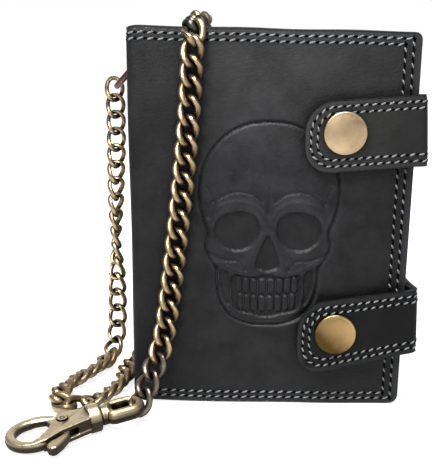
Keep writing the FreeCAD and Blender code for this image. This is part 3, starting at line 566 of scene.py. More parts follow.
# ---------------- stitching
def stitch_pattern(length, width, high):
    """One stitch: a grain of thread with its ends pulled down into the leather."""
    bm = bmesh.new()
    bmesh.ops.create_uvsphere(bm, u_segments=6, v_segments=6, radius=0.5)
    bmesh.ops.rotate(bm, verts=bm.verts, cent=(0, 0, 0), matrix=Matrix.Rotation(math.pi / 2, 3, "Y"))
    for vertex in bm.verts:
        x, y, z = vertex.co * 2
        arch = z + 0.35 - 0.7 * x * x
        vertex.co = Vector((x * length / 2, y * width / 2, arch * high))
    return as_mesh(bm)


def hole_pattern(length, width):
    """A painted shadow: the dark hollow between two stitches, where the thread goes down."""
    bm = circle_bm(10, 0.5, True)
    bmesh.ops.scale(bm, verts=bm.verts, vec=Vector((length, width, 1)))
    return as_mesh(bm)


def vectors(*points):
    return [Vector(point) for point in points]


def along_line(points, pitch):
    """Even steps along a flat line: the middle and the start of each step, with the line's heading."""
    lengths = [(b - a).length for a, b in zip(points, points[1:])]
    count = max(1, round(sum(lengths) / pitch))
    step = sum(lengths) / count

    def spot(left):
        k = 0
        while k < len(lengths) - 1 and left > lengths[k]:
            left -= lengths[k]
            k += 1
        way = (points[k + 1] - points[k]).normalized()
        return points[k] + way * left, math.atan2(way.y, way.x)

    return [spot((i + 0.5) * step) for i in range(count)], [spot(i * step) for i in range(count + 1)]


THREAD_SUNK, HOLE_PROUD = 0.06, 0.08


def sew(name, path, lines, pitch, slant, size, place=None):
    """Stitches and needle holes along flat lines on a wrapped sheet; place puts flat points on its face."""
    place = place or path.wrap
    threads, holes = [], []
    for line in lines:
        middles, starts = along_line(line, pitch)
        for where, heading in middles:
            lean = heading + path.side * math.radians(slant + rng.uniform(-4, 4))
            turn = path.stand(where.x, where.y, 0, lean)
            turn.translation = place(where.x, where.y, 0) - turn.col[2].xyz * THREAD_SUNK
            threads.append(turn @ Matrix.Scale(rng.uniform(0.93, 1.05), 4))
        for where, heading in starts:
            turn = path.stand(where.x, where.y, 0, heading + path.side * math.radians(slant / 2))
            turn.translation = place(where.x, where.y, 0) + turn.col[2].xyz * HOLE_PROUD
            holes.append(turn)
    hollow = hole_pattern(pitch - size[0] + 0.7, size[1] * 1.3)
    return (
        piece(copies(stitch_pattern(*size), threads), name, THREAD),
        piece(copies(hollow, holes), name + "_needle_hole_shadows", HOLE),
    )


# ---------------- blind tooling
def curve(points, steps=8, closed=False):
    """A smooth line through the points."""
    pts = vectors(*points)
    if closed:
        pts = [pts[-1]] + pts + pts[:2]
    else:
        pts = [2 * pts[0] - pts[1]] + pts + [2 * pts[-1] - pts[-2]]
    line = []
    for a, b, c, d in zip(pts, pts[1:], pts[2:], pts[3:]):
        for k in range(steps):
            t = k / steps
            point = 2 * b + (c - a) * t
            point += (2 * a - 5 * b + 4 * c - d) * t * t
            point += (3 * b - a - 3 * c + d) * t**3
            line.append(0.5 * point)
    return line if closed else line + [pts[-2]]


class Tooling:
    """Heights pressed into leather at many flat points, mirrored about the motif's middle line."""

    def __init__(self, x, z):
        self.x, self.z = np.abs(x), z
        self.height, self.sunk, self.bevel = (np.zeros_like(self.x) for _ in range(3))

    def distance(self, line):
        best = np.full_like(self.x, 1e9)
        for a, b in zip(line, line[1:]):
            dx, dz = b.x - a.x, b.y - a.y
            size = max(dx * dx + dz * dz, 1e-9)
            t = np.clip(((self.x - a.x) * dx + (self.z - a.y) * dz) / size, 0, 1)
            best = np.minimum(best, np.hypot(self.x - a.x - t * dx, self.z - a.y - t * dz))
        return best

    def inside(self, line):
        odd = np.zeros(self.x.shape, bool)
        for a, b in zip(line, line[1:] + line[:1]):
            if a.y != b.y:
                cross = (self.z > min(a.y, b.y)) & (self.z <= max(a.y, b.y))
                odd ^= cross & (self.x < a.x + (self.z - a.y) * (b.x - a.x) / (b.y - a.y))
        return odd

    def stroke(self, points, width, depth):
        """A rounded groove, or a ridge where depth is below nothing."""
        d = self.distance(curve(points))
        cut = np.exp(-((d / width) ** 2))
        self.height -= depth * cut
        self.bevel = np.maximum(self.bevel, 4 * cut * (1 - cut) * min(1.0, abs(depth)))
        if depth > 0:
            self.sunk = np.maximum(self.sunk, 0.7 * cut)

    def field(self, points, depth, soft):
        """A sunk flat with sloping sides, soft across."""
        line = curve(points, closed=True)
        d = self.distance(line + line[:1])
        signed = np.where(self.inside(line), d, -d)
        t = np.clip(signed / soft + 0.5, 0, 1)
        t = t * t * (3 - 2 * t)
        self.height -= depth * t
        self.bevel = np.maximum(self.bevel * (1 - t), 4 * t * (1 - t))
        self.sunk = np.maximum(self.sunk, t)

    def pad(self, x0, x1, z0, z1, radius, high):
        """A raised cushion with round corners."""
        dx = np.abs(self.x - (x0 + x1) / 2) - (x1 - x0) / 2 + radius
        dz = np.abs(self.z - (z0 + z1) / 2) - (z1 - z0) / 2 + radius
        d = np.hypot(np.maximum(dx, 0), np.maximum(dz, 0)) + np.minimum(np.maximum(dx, dz), 0) - radius
        t = np.clip(0.5 - d / 0.8, 0, 1)
        self.height += high * t * t * (3 - 2 * t)
        self.bevel = np.maximum(self.bevel, 3 * t * (1 - t))
        self.sunk *= 1 - 0.8 * t


# the skull's right half, in millimetres from its middle: the outline from the crown to the chin
CROWN = [
    (0, 37.6), (8, 36.6), (15.5, 32.8), (21.2, 26.6), (24.6, 18.6), (25.2, 10), (23.8, 2.2), (22, -3.2),
    (22.8, -8.6), (20.8, -13.6), (18.6, -16.8), (18.4, -23.5), (16.8, -30), (12.4, -35.4), (6, -37.9),
    (0, -38.2),
]
# sunk fields as (points, depth, soft) and grooves as (points, width, depth), in the order they are pressed
FACE = [
    # the eye's socket, the ridge over it, the brow and the crease between the brows
    ("field", [(3.2, -0.6), (5.2, 3.4), (10.6, 4.8), (16.6, 3.2), (19.4, -1.2), (18.2, -6.4), (13.6, -9.6),
               (7.8, -9.2), (4.0, -5.6)],
     1.15, 0.9),
    ("stroke", [(1.6, 1.8), (4.8, 6.4), (11, 8.2), (18, 6), (21, 0.8)], 1.3, -0.42),
    ("stroke", [(2.2, 8.6), (6.6, 11.6), (13.4, 12), (20.4, 8.4)], 0.65, 0.5),
    ("stroke", [(0, 13.4), (0.2, 8.6), (0, 4.2)], 0.6, 0.35),
    # the nose and its rim
    ("field", [(-1, -3.6), (1.3, -6.2), (3.7, -12.2), (4.3, -15.8), (2.2, -17), (-1, -16.6)], 1.1, 0.85),
    ("stroke", [(1.8, -3.4), (5.4, -11.2), (6.2, -16.6), (3.2, -19)], 0.8, -0.35),
    # the cheek bone, the hollow behind the teeth and the mouth
    ("stroke", [(21.2, -11), (15.8, -13.2), (10.6, -13.6), (7.8, -17)], 0.7, 0.55),
    ("stroke", [(20.2, -14.2), (14.6, -16), (10.4, -18)], 0.9, -0.4),
    ("field", [(14.2, -18.4), (17.2, -17.4), (17, -23.4), (15.6, -28.4), (13.8, -30.4), (13.6, -24)],
     0.8, 0.75),
    ("field", [(-1, -19.6), (6, -19.8), (12.4, -19), (12.9, -25), (11.6, -32), (6, -34), (-1, -34.2)],
     0.95, 0.8),
]
# two rows of teeth: where they part, and the row's bottom and top
TEETH = (((0, 3.2, 6.2, 9, 11.6), -26, -20.4), ((0, 3, 5.8, 8.4, 10.8), -32.8, -27))
TEMPLE, CHIN = [(22.4, 14), (20, 8), (21.4, 3)], [(13.4, -33.4), (8, -36), (0, -36.4)]
TOOTH_GAP = 0.28         # half the gap between two teeth


def skull(x, z):
    """A plain skull of this maker's own drawing, 50 mm wide and 75 mm tall."""
    t = Tooling(x, z)
    line = curve(CROWN)
    rim = t.distance(line)
    within = t.inside(vectors((-40, 37.6)) + line + vectors((-40, -38.2)))
    # the whole figure swells gently inside a cut outline
    t.height += np.where(within, 0.42 * (1 - np.exp(-((rim / 5.0) ** 2))), 0)
    t.stroke(CROWN, 0.6, 0.95)
    tools = {"field": t.field, "stroke": t.stroke}
    for tool, points, first, second in FACE:
        tools[tool](points, first, second)
    for edges, low, high in TEETH:
        for k, (a, b) in enumerate(zip(edges, edges[1:])):
            drop = 0.12 * k * k
            t.pad(a + TOOTH_GAP, b - TOOTH_GAP, low + drop * 0.6, high + drop * 0.8, 1.1, 0.85)
    t.stroke(TEMPLE, 0.7, 0.45)
    t.stroke(CHIN, 0.6, 0.4)
    return t.height, t.sunk, t.bevel


# ---------------- covers
COVER_ARC = FOLD_R * math.pi / 2
FACE_RUN, SPINE_RUN = WIDTH - FOLD_R, HALF - FOLD_R
FRONT = Path((X_FORE, -HALF), 180, -1, (FACE_RUN, 0), (COVER_ARC, -90), (SPINE_RUN, 0))
BACK = Path((X_FORE, HALF), 180, 1, (FACE_RUN, 0), (COVER_ARC, 90), (SPINE_RUN, 0))
# each seam's first row from the edge, the step between its two rows, and its stitches' pitch and size
STITCH_IN, STITCH_ROWS, STITCH_PITCH, STITCH_SIZE = 2.35, 2.1, 3.35, (2.55, 0.66, 0.36)
SIDE_IN, SIDE_ROWS, SIDE_PITCH, SIDE_SIZE = 3.0, 2.8, 3.8, (2.0, 0.64, 0.34)
SKULL_AT, SKULL_HALF = (-0.8, 70.0), (27, 40)
BACK_SLUMP, SPINE_SINK, SPINE_LEAN = 3.0, 3.2, 1.7


def sway(u, v):
    """The slight unevenness of worked leather, in millimetres."""
    return 0.16 * math.sin(u / 17 + 1.3) * math.sin(v / 23 + 0.4) + 0.1 * math.sin(u / 7.3 + v / 11)


def cover(name, path, tooled):
    """One cover: outer leather and lining, from the fore-edge round the fold to the middle of the spine."""
    middles = (X_FORE - SKULL_AT[0], SKULL_AT[1])
    dense = [(m - half, m + half) if tooled else None for m, half in zip(middles, SKULL_HALF)]
    us, vs = spread(0, path.length, 1.5, dense[0], 0.4), spread(0, HEIGHT, 1.5, dense[1], 0.4)
    slump = 0.0 if tooled else BACK_SLUMP
    corners = [(0, 0, LOW_CORNER, -1, -1), (0, HEIGHT, TOP_CORNER, -1, 1)]

    def settle(u, v):
        """The height a flat point has worn to: the top droops to the fore-edge and sinks at the spine."""
        k = min(1.0, u / FACE_RUN)
        t = min(1.0, max(0.0, (u - FACE_RUN + 2.3) / (path.length - FACE_RUN + 2.3)))
        droop = 0.9 * (1 - k) + slump + (SPINE_SINK - slump) * t * t * (3 - 2 * t)
        lift = 0.7 * math.exp(-(((u - FACE_RUN) / 14) ** 2))
        wave = 0.14 * math.sin(u / 6.1 + 0.8)
        return v - (droop + wave) * (v / HEIGHT) ** 5 + (lift + 0.1 + wave / 2) * (1 - v / HEIGHT) ** 5

    def place(u, v, w):
        edge = min(u, v, HEIGHT - v)
        dip = 0.45 * math.exp(-((edge / 2.0) ** 2)) if w > -0.01 else 0.0
        return lean(u, v, w - dip - 0.2 - sway(u, v) * (w > -0.9))

    def lean(u, v, w):
        """The wrapped point, where the spine's top leans out a little."""
        out = SPINE_LEAN * (v / HEIGHT) ** 2 * min(1.0, max(0.0, u / FACE_RUN - 0.6) / 0.4)
        return path.wrap(u, settle(u, v), w) - Vector((out, 0, 0))

    bm = sheet(us, vs, 0, -COVER_T, 0.5, place, corners)
    pressed = bm.verts.layers.float.new("pressed")
    rubbed = bm.verts.layers.float["rubbed"]
    if tooled:
        spots = [(v, v.co.x - SKULL_AT[0], v.co.z - SKULL_AT[1]) for v in bm.verts if v.co.y < -HALF + 0.75]
        wide, tall = (half + 1 for half in SKULL_HALF)
        faces, x, z = zip(*(spot for spot in spots if abs(spot[1]) < wide and abs(spot[2]) < tall))
        for vertex, high, low, slope in zip(faces, *skull(np.array(x), np.array(z))):
            vertex.co.y -= float(high)
            # the tooling's bevels get the painted highlight
            vertex[pressed], vertex[rubbed] = float(low), float(slope)
    outer = piece(bm, name + "_leather", OUTER, EDGE)
    inset, face = 0.5, -COVER_T - 0.2
    us, vs = grid(inset, path.length, inset, HEIGHT - inset, 3.0)
    corners = [(inset, inset, LOW_CORNER, -1, -1), (inset, HEIGHT - inset, TOP_CORNER, -1, 1)]
    skin = sheet(us, vs, face, -COVER_T - LINING_T, 0.2, lean, corners, rim_slot=0)
    inner = piece(skin, name + "_lining", LINING)
    rows, sides = [], []
    for k in range(2):
        d, side = STITCH_IN + k * STITCH_ROWS, SIDE_IN + k * SIDE_ROWS
        low, high, end = d, HEIGHT - d, FACE_RUN + 3
        rows += [vectors((end, high), (side, high)), vectors((side, low), (end, low))]
        sides.append(vectors((side, high), (side, low)))
    sewn = sew(name + "_stitching", path, rows, STITCH_PITCH, 20, STITCH_SIZE, place)
    sewn += sew(name + "_side_stitching", path, sides, SIDE_PITCH, 26, SIDE_SIZE, place)
    # the fold: from the spine's flat to five millimetres along the cover
    y = HALF if path is BACK else -HALF
    on_spine = (X_SPINE * MM, (HALF - 4) * math.copysign(MM, y), 0)
    on_cover = ((X_SPINE + 5) * MM, y * MM, 0)
    for one in (outer, inner, *sewn):
        if path is FRONT:
            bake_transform(one, "spine", "front_half", start=on_spine, end=on_cover)
        else:
            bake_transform(one, "back_half", "spine", start=on_cover, end=on_spine)
    return outer, inner


front_outer, front_inner = cover("front_cover", FRONT, True)
back_outer, back_inner = cover("back_cover", BACK, False)
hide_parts("front_cover", "spine_leather")
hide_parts("front_lining", "spine_lining")
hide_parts("back_cover")
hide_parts("back_lining")


# ---------------- straps and snap caps
TIP_R, STRAP_H = 10.5, 25.4
SNAP_RUN = 13.9          # from the strap's tip to its snap
STRAP_END_X = 16.5       # where the strap ends behind the back cover
BEND_YS = (-8, -15.3)    # the strap bends between these when it opens


class Band:
    """A strap's path, from its tip along the front, round the fore-edge and back, and its edges' heights.
    It swells out at the front bend and draws in between the covers; lean moves it out below and in above."""

    def __init__(self, out, corner, bottoms, tops, snap_z, swell, lean):
        bend = corner * math.pi / 2
        front, side, back = out - corner - TIP_X, BACK_Y - FRONT_Y - 2 * corner, out - corner - STRAP_END_X
        self.path = Path((TIP_X, FRONT_Y), 0, 1, (front, 0), (bend, 90), (side, 0), (bend, 90), (back, 0))
        self.first, self.last = front + bend / 2, front + bend * 1.5 + side
        # the edges' heights are known at the tip, the snap, the middles of both bends and the end
        self.marks = (0, SNAP_RUN, self.first, self.last, self.path.length)
        self.bottoms, self.tops, self.snap_z = bottoms, tops, snap_z
        self.out, self.swell, self.lean = out, swell, lean

    def shape(self, u, v):
        """A flat point moved to the strap's true height there, eased over the bends as leather does."""
        steps = [u + step for step in (-4, -2, 0, 2, 4)] if u > 20 else [u]
        low, high = (float(np.mean(np.interp(steps, self.marks, edge))) for edge in (self.bottoms, self.tops))
        return u, low + (high - low) * v / STRAP_H

    def drift(self, u, v):
        """How far the strap has moved sideways from its drawn path there."""
        near = math.exp(-(((u - self.first) / 5.0) ** 2))
        between = math.sin(math.pi * min(1.0, max(0.0, (u - self.first) / (self.last - self.first))))
        middle = self.shape(u, STRAP_H / 2)[1]
        low, high = self.lean
        tilt = low + (high - low) * (0.5 + (v - middle) / STRAP_H)
        return near * tilt - self.swell * between


UPPER_EDGES = (89.43, 90.7, 93.36, 90.05, 86.45), (114.88, 116, 118.35, 115.04, 111.44)
LOWER_EDGES = (13.02, 16.1, 23.4, 25.5, 31.77), (41.29, 43, 47.4, 48.0, 55.67)
STRAPS = {
    "upper": Band(53.9, 3.4, *UPPER_EDGES, HIGH_SNAP_Z, 0.8, (1.5, -0.7)),
    "lower": Band(55.0, 4.2, *LOWER_EDGES, LOW_SNAP_Z, 2.0, (1.5, 0.3)),
}
STRAP_ROWS, STRAP_PITCH, STRAP_STITCH = (2.2, 4.5), 2.97, (2.35, 0.66, 0.32)


def snap_cap(name, z, body, brass):
    """A brass snap cap: a low dome inside a thin rolled rim, undercut below."""
    profile = [
        (0, 0), (6.5, 0), (6.6, 0.5), (7.3, 0.58), (7.58, 0.8), (7.5, 1.08), (7.2, 1.25), (6.8, 1.2),
        (6.5, 1.3), (5, 1.52), (3.3, 1.7), (1.6, 1.8), (0, 1.83),
    ]
    bm = moved(turned(profile, 64), frame_at((SNAP_X, FRONT_Y, z), (1, 0, 0), (0, -1, 0)))
    fit(piece(bm, name + "_brass", brass, angle=50), body, name)


def strap(name, skin, brass):
    """One strap from tongue to end, its leather, backing and two rows of stitches, and its cap."""
    band, body = STRAPS[name], name + "_strap"
    first_row, second_row = STRAP_ROWS

    def place(u, v, w):
        low, high = band.shape(u, 0)[1], band.shape(u, STRAP_H)[1]
        edge = min(u, v - low, high - v)
        dip = 0.0
        if w > -0.01:
            # rounded over at the rim, and pulled down along the two rows of stitches
            dip = 0.28 * math.exp(-((edge / 1.6) ** 2))
            if edge < 6:
                dip += 0.07 * math.cos((edge - first_row) / (second_row - first_row) * math.tau) + 0.07
        bow = 0.14 * math.sin(u / 9.0 + band.snap_z) * (1 if u < 42 else 0)
        where = band.path.wrap(u, v, w - dip - 0.15 + bow)
        return where + Vector((band.drift(u, v), 0, 0))

    def layer(inset, top, bottom, bevel, cell, **more):
        us, vs = grid(inset, band.path.length - inset, inset, STRAP_H - inset, cell)
        corners = [(inset, inset, TIP_R, -1, -1), (inset, STRAP_H - inset, TIP_R, -1, 1)]
        return sheet(us, vs, top, bottom, bevel, place, corners, shape=band.shape, **more)

    outer = piece(layer(0.0, 0, -STRAP_T, 0.55, 0.8), body + "_leather", skin, STRAP_EDGE)
    backing = layer(0.25, -STRAP_T, -STRAP_T - STRAP_LINING_T + 0.1, 0.3, 1.2, rim_slot=0)
    inner = piece(backing, body + "_backing", LINING)
    lines = []
    for inset in STRAP_ROWS:
        end, turn = band.path.length - inset, TIP_R - inset
        line = [(end, STRAP_H / 2), (end, STRAP_H - inset)]
        line += [(u, STRAP_H - inset) for u in range(100, 10, -10)]
        for centre_v, first in ((STRAP_H - TIP_R, 90), (TIP_R, 180)):
            for k in range(10):
                angle = math.radians(first + k * 10)
                line.append((TIP_R + turn * math.cos(angle), centre_v + turn * math.sin(angle)))
        line += [(u, inset) for u in range(20, 101, 10)] + [(end, inset), (end, STRAP_H / 2)]
        lines.append([Vector(band.shape(point.x, point.y)) for point in vectors(*line)])
    sewn = sew(body + "_stitching", band.path, lines, STRAP_PITCH, 20, STRAP_STITCH, place)
    side, front = ((band.out * MM, y * MM, 0) for y in BEND_YS)
    for one in (outer, inner, *sewn):
        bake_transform(one, "back_half", body, start=side, end=front)
    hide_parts(body + "_tongue", body + "_wrap")
    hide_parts(body + "_tongue_lining", body + "_wrap_lining")
    snap_cap(name + "_snap_cap", band.snap_z, body, brass)


strap("upper", STRAP, CAP)
strap("lower", LOW_STRAP, LOW_CAP)


# ---------------- inside
PANEL_BEVEL, FILLER_BEVEL = 0.25, 0.2
SLIP_ROOM, NOTE_ROOM = 2.2, 3.0


def card_slot(node):
    """A bevelled block the size of the solid part's."""
    bm = block_bm(*(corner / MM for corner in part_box(node)))
    round_off(bm, bm.edges[:], PANEL_BEVEL)
    fit(piece(bm, node + "_leather", POCKET), "front_half", node)


def pocket(node, body, path, area, deep, room, cell, strips, **more):
    """A panel on three filler strips, open at the top. area and strips are (u, u, z, z); deep is where the
    strips lie, and room is how far the panel stands off behind them."""
    under = -deep - room
    bm = sheet(*grid(*area, cell), under, under - 1, PANEL_BEVEL, path.wrap, rim_slot=0, **more)
    fillers = [sheet(*grid(*strip, 3), -deep, under, FILLER_BEVEL, path.wrap, rim_slot=0) for strip in strips]
    fit(piece(merged(bm, *fillers), node + "_leather", POCKET), body, node)


def note_pocket(side, path, body):
    """A pocket for banknotes; its top lies a little below the cover's."""
    u0, u1, z0, z1, welt = 1.0, 96.0, 1.0, HEIGHT - (4 if path is BACK else 3), 4.5
    ends = [(u0, z0, 4, -1, -1), (u0, z1, 4, -1, 1)]
    strips = [
        (u0 + 0.3, u0 + welt, z0 + 3, z1 - 3), (u1 - welt, u1, z0, z1), (u0 + 3, u1 - 1, z0, z0 + welt),
    ]
    pocket(
        side + "_note_pocket", body, path, (u0, u1, z0, z1), COVER_T + LINING_T, NOTE_ROOM, 3, strips,
        round_ends=ends,
    )


def slip_pocket():
    """A slip pocket with a thumb notch in its top edge."""
    u0, u1, z0, z1, welt = 2.0, 95.0, 2.0, 92.0, 4.5
    strips = [(u0, u0 + welt, z0, z1), (u1 - welt, u1, z0, z1), (u0 + 4, u1 - 4, z0, z0 + welt)]
    notch = [((u0 + u1) / 2, 95.0, 11.0)]
    pocket("slip_pocket", "back_half", BACK, (u0, u1, z0, z1), 6.4, SLIP_ROOM, 1.5, strips, holes=notch)


def window_leaf():
    """A leaf sewn to the spine, with a clear window of two films."""
    x0, x1, z0, z1, rim = -48.1, 43.5, 17.0, 123.0, 7.0
    leaf = Path((x1, -0.6), 180, -1, (x1 - x0, 0))
    inner = x1 + 34.1
    us = spread(0, rim, 1.5) + spread(rim, inner, 3)[1:] + spread(inner, x1 - x0, 3)[1:]
    vs = spread(z0, z0 + rim, 1.5) + spread(z0 + rim, z1 - rim, 3)[1:] + spread(z1 - rim, z1, 1.5)[1:]
    ends, window = [(0, z0, 5, -1, -1), (0, z1, 5, -1, 1)], (rim, inner, z0 + rim, z1 - rim)
    bm = sheet(us, vs, 0, -1.2, PANEL_BEVEL, leaf.wrap, ends, windows=[window], rim_slot=0)
    fit(piece(bm, "window_leaf_leather", POCKET), "spine", "window_leaf")
    films = [block_bm(Vector((-34.4, y, 23.7)), Vector((36.8, y + 0.3, 116.3))) for y in (-0.9, 0.6)]
    fit(piece(merged(*films), "clear_window_films", FILM), "spine", "window_films")


note_pocket("front", FRONT, "front_half")
note_pocket("back", BACK, "back_half")
for tier in range(1, 5):
    card_slot("card_slot_%d" % tier)
slip_pocket()
window_leaf()


# ---------------- chain tab and ring
EYELET_Z, TAB_HALF = 127, 6


def chain_tab():
    """A leather tab sewn on the back cover, its free end standing out to carry the ring."""
    path = Path((-32, BACK_Y - 0.4), 180, 1, (8.56, 0), (1.571, -30), (13.15, 0))
    low, high = EYELET_Z - TAB_HALF, EYELET_Z + TAB_HALF
    ends = [(path.length, low, 5.9, 1, -1), (path.length, high, 5.9, 1, 1)]
    us, vs = grid(0, path.length, low, high, 0.8)
    bm = sheet(us, vs, 0, -2.4, 0.5, path.wrap, ends, holes=[(17.18, EYELET_Z, 3.5)])
    tab = piece(bm, "chain_tab_leather", STRAP, EDGE)
    line = vectors((7.6, 122.6), (1.6, 122.6), (1.6, 131.4), (7.6, 131.4))
    for one in (tab, *sew("chain_tab_stitching", path, [line], STRAP_PITCH, 20, STRAP_STITCH)):
        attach(one, "back_half")
    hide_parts("chain_tab")


def tab_ring():
    """The ring that hangs in the tab's eyelet and takes the chain's first link."""
    normal, middle, radius, wire = Vector((0.7514, 0.0266, -0.6593)), (-52.97, 25.29, 122.46), 8.98, 2.4
    bm = moved(wire_arc(radius, wire, 0, 360, 72, 14), frame_at(middle, normal.cross((0, 1, 0)), normal))
    fit(piece(bm, "bronze_ring", RING), "ring", "tab_ring")


chain_tab()
tab_ring()


# ---------------- chain
LINK_PITCH = 6.8
# a link's wire across and through the chain's flat, its width and its twist; it hangs in thinner links
FULL_LINK, OPEN_LINK, FLOOR_LINK = (2.5, 2.5, 8.8, 54.0), (1.75, 2.4, 8.1, 44.0), (2.75, 2.9, 8.5, 38.0)

# the chain's lay from the ring to the hook: the place of a link's middle, then the way the chain's flat faces
HANGING = [
    (-61.0, 35.4, 113.4, 0.2, -1, 0), (-60.7, 36.0, 104, 0.25, -1, 0), (-60.7, 35.8, 90, 0.4, -1, 0),
    (-61.0, 35.6, 76, 1, -0.9, 0), (-61.2, 35.2, 62, 1, -0.4, 0), (-61.2, 34.6, 50, 1, 0.1, 0),
    (-61.0, 34.2, 41, 1, 0.8, 0), (-60.9, 33.6, 30, 0.3, 1, 0), (-60.8, 32.2, 18, 0.1, 1, -0.1),
    (-61.4, 28.4, 8.6, 0.1, 0.7, -0.7),
]
FLOOR = [
    (-63.4, 21.6, 3.9, 0.3, 0.1, -0.9), (-66.4, 12.0, 3.6, 0.6, -0.27, -0.76),
    (-70.2, 4.4, 3.6, 0.6, -0.27, -0.76), (-73.8, -2.2, 3.6, 0.6, -0.27, -0.76),
    (-76.8, -9.0, 3.8, 0.4, -0.1, -0.9), (-77.8, -16.4, 3.8, 0.2, 0.2, -0.9),
    (-75.8, -23.4, 3.9, 0.2, 0.5, -0.8), (-71.0, -25.6, 3.9, 0, 0.6, -0.7),
    (-65.8, -21.8, 3.8, 0.3, 0.4, -0.8), (-61.2, -16.2, 3.6, 0.6, 0, -0.8),
    (-57.4, -8.0, 3.6, 0.6, -0.2, -0.8), (-55.0, 2.0, 3.6, 0.6, -0.2, -0.76),
    (-54.2, 12.6, 3.6, 0.5, -0.1, -0.8), (-50.4, 22.6, 3.4, 0, -0.1, -1),
]
BACKRUN = [
    (-43.8, 29.0, 4.2, 0, -0.3, -1), (-36.4, 31.2, 8.6, 0, -0.8, -0.8), (-31.4, 26.6, 18, 0, -1, -0.4),
    (-29.4, 20.4, 30, 0, -1, -0.1), (-28.4, 17.2, 46, 0, -1, 0), (-27.4, 17.0, 84, 0, -1, 0),
    (-26.6, 17.0, 116, 0, -1, 0), (-26.2, 17.6, 130, 0, -1, -0.1), (-26.2, 16.4, 138.2, 0, -0.8, -0.6),
    (-26.4, 10.2, 141.6, 0, -0.2, -1),
]
DRAPE = [
    (-27.4, 0, 140.6, 0, 0, -1), (-28.2, -9.6, 140.1, 0, 0.2, -1), (-28.3, -16.2, 137.2, 0, 0.8, -0.6),
    (-28.6, -17.8, 132, 0, 1, 0), (-29.1, -16.6, 118, 0, 1, 0), (-30.6, -16.4, 97, 0, 1, 0),
    (-32.6, -16.4, 76, 0, 1, 0), (-35.0, -16.4, 53, 0, 1, 0), (-37.4, -16.8, 34, 0, 1, 0),
    (-39.4, -18.2, 24, 0, 1, -0.1), (-42.8, -23.2, 15.0, 0, 1, -0.5), (-46.0, -29.6, 7.8, 0.2, 1, -0.6),
]


def link_pattern(wire, deep, width, twist):
    """One curb link: a ring of wire stretched long and twisted so that the chain lies flat."""
    half_long, half_wide = LINK_PITCH / 2 + (wire + deep) / 4, (width - wire) / 2
    bm = wire_arc(1.0, 0.2, 0, 360, 28, 10)
    for vertex in bm.verts:
        x, y, z = vertex.co
        angle = math.atan2(y, x)
        around = Vector((math.cos(angle), math.sin(angle)))
        out = math.hypot(x, y) - 1.0
        # an oval with full ends: the sides are nearly straight
        long = math.copysign(abs(around.x) ** 0.86, around.x) * half_long
        wide = math.copysign(abs(around.y) ** 0.72, around.y) * half_wide
        tangent = Vector((-around.y * half_long, around.x * half_wide)).normalized()
        normal = Vector((tangent.y, -tangent.x))
        long += normal.x * out * 10 * wire / 2
        wide += normal.y * out * 10 * wire / 2
        high = z * 10 * deep / 2
        turn = math.radians(-twist * max(-1.0, min(1.0, long / half_long)))
        across, up = math.cos(turn), math.sin(turn)
        vertex.co = Vector((long, wide * across - high * up, wide * up + high * across))
    return as_mesh(bm)


def route(stations, steps=12):
    """A smooth line through the stations with the way the chain's flat faces at each point."""
    faces = [Vector(station[3:]).normalized() for station in stations]
    line = curve([station[:3] for station in stations], steps)
    turned_to = []
    for a, b in zip(faces, faces[1:]):
        turned_to += [a.slerp(b, k / steps, a) for k in range(steps)]
    return line, turned_to + [faces[-1]]


def chain():
    """Links at an even pitch along the whole lay, each run of them a piece of its own."""
    runs = (
        ("chain_hanging_run", HANGING, "back_half", OPEN_LINK),
        ("chain_floor_loop", FLOOR, "back_half", FLOOR_LINK),
        ("chain_back_run", BACKRUN, "back_half", FULL_LINK),
        ("chain_drape", DRAPE, "front_half", FULL_LINK),
    )
    line, faces = route([station for run in runs for station in run[1]])
    at = [0.0]
    for a, b in zip(line, line[1:]):
        at.append(at[-1] + (b - a).length)
    count = round(at[-1] / LINK_PITCH) + 1
    pitch = at[-1] / (count - 1)

    def on(distance):
        distance = min(max(distance, 0.0), at[-1] - 1e-6)
        k = int(np.searchsorted(at, distance, side="right")) - 1
        t = (distance - at[k]) / (at[k + 1] - at[k])
        return line[k].lerp(line[k + 1], t), faces[k].lerp(faces[k + 1], t)

    places = []
    for i in range(count):
        middle, face = on(i * pitch)
        before = on(i * pitch - pitch / 2)[0] if i else middle - (on(pitch / 2)[0] - middle)
        after = on(i * pitch + pitch / 2)[0] if i < count - 1 else middle + (middle - before)
        # links on the floor roll a little this way and that
        roll = rng.uniform(-14, 14) if middle.z < 6 else rng.uniform(-4, 4)
        turn = frame_at(middle, after - before, face) @ Matrix.Rotation(math.radians(roll), 4, "X")
        places.append((middle, turn))
    # painted reflection: the links where the chain crosses the top are gunmetal grey; the last three, by the
    # hook, are grey
    light_mark = Vector((-28.3, -11.0, 140))
    reflection_at = min(range(count), key=lambda i: (places[i][0] - light_mark).length)
    slots = [2 if reflection_at - 1 <= i <= reflection_at else 1 if i >= count - 3 else 0 for i in range(count)]
    start = 0
    for name, stations, body, link in runs:
        last = Vector(stations[-1][:3])
        end = min(range(count), key=lambda i: (places[i][0] - last).length)
        some = slice(start, end + 1)
        links = copies(link_pattern(*link), [m for _, m in places[some]], slots[some])
        fit(piece(links, name + "_links", CHAIN, GREY_CHAIN, DARK_CHAIN), body, name)
        start = end + 1


chain()


# ---------------- trigger hook
# drawn flat about the eye's middle, the hook lying along X, and then put here
HOOK_AT = Vector((-81.5, -46.5, 2.8492))
ALONG, UP = Vector((0.904347, 0.414042, 0.103565)), Vector((-0.094165, -0.043112, 0.994623))
HOOK_PLACE = frame_at(HOOK_AT, ALONG, UP)
EYE_R, EYE_WIRE, EYE_SQUARE, EYE_TRIM = 8.2, 3.9, 0.68, 0.47
PIVOT, PIN_HEAD_R, PIN_TOP = (10.5, 0.5), 1.8, 3.04
COLLAR_X, STEM_X = 19, 18


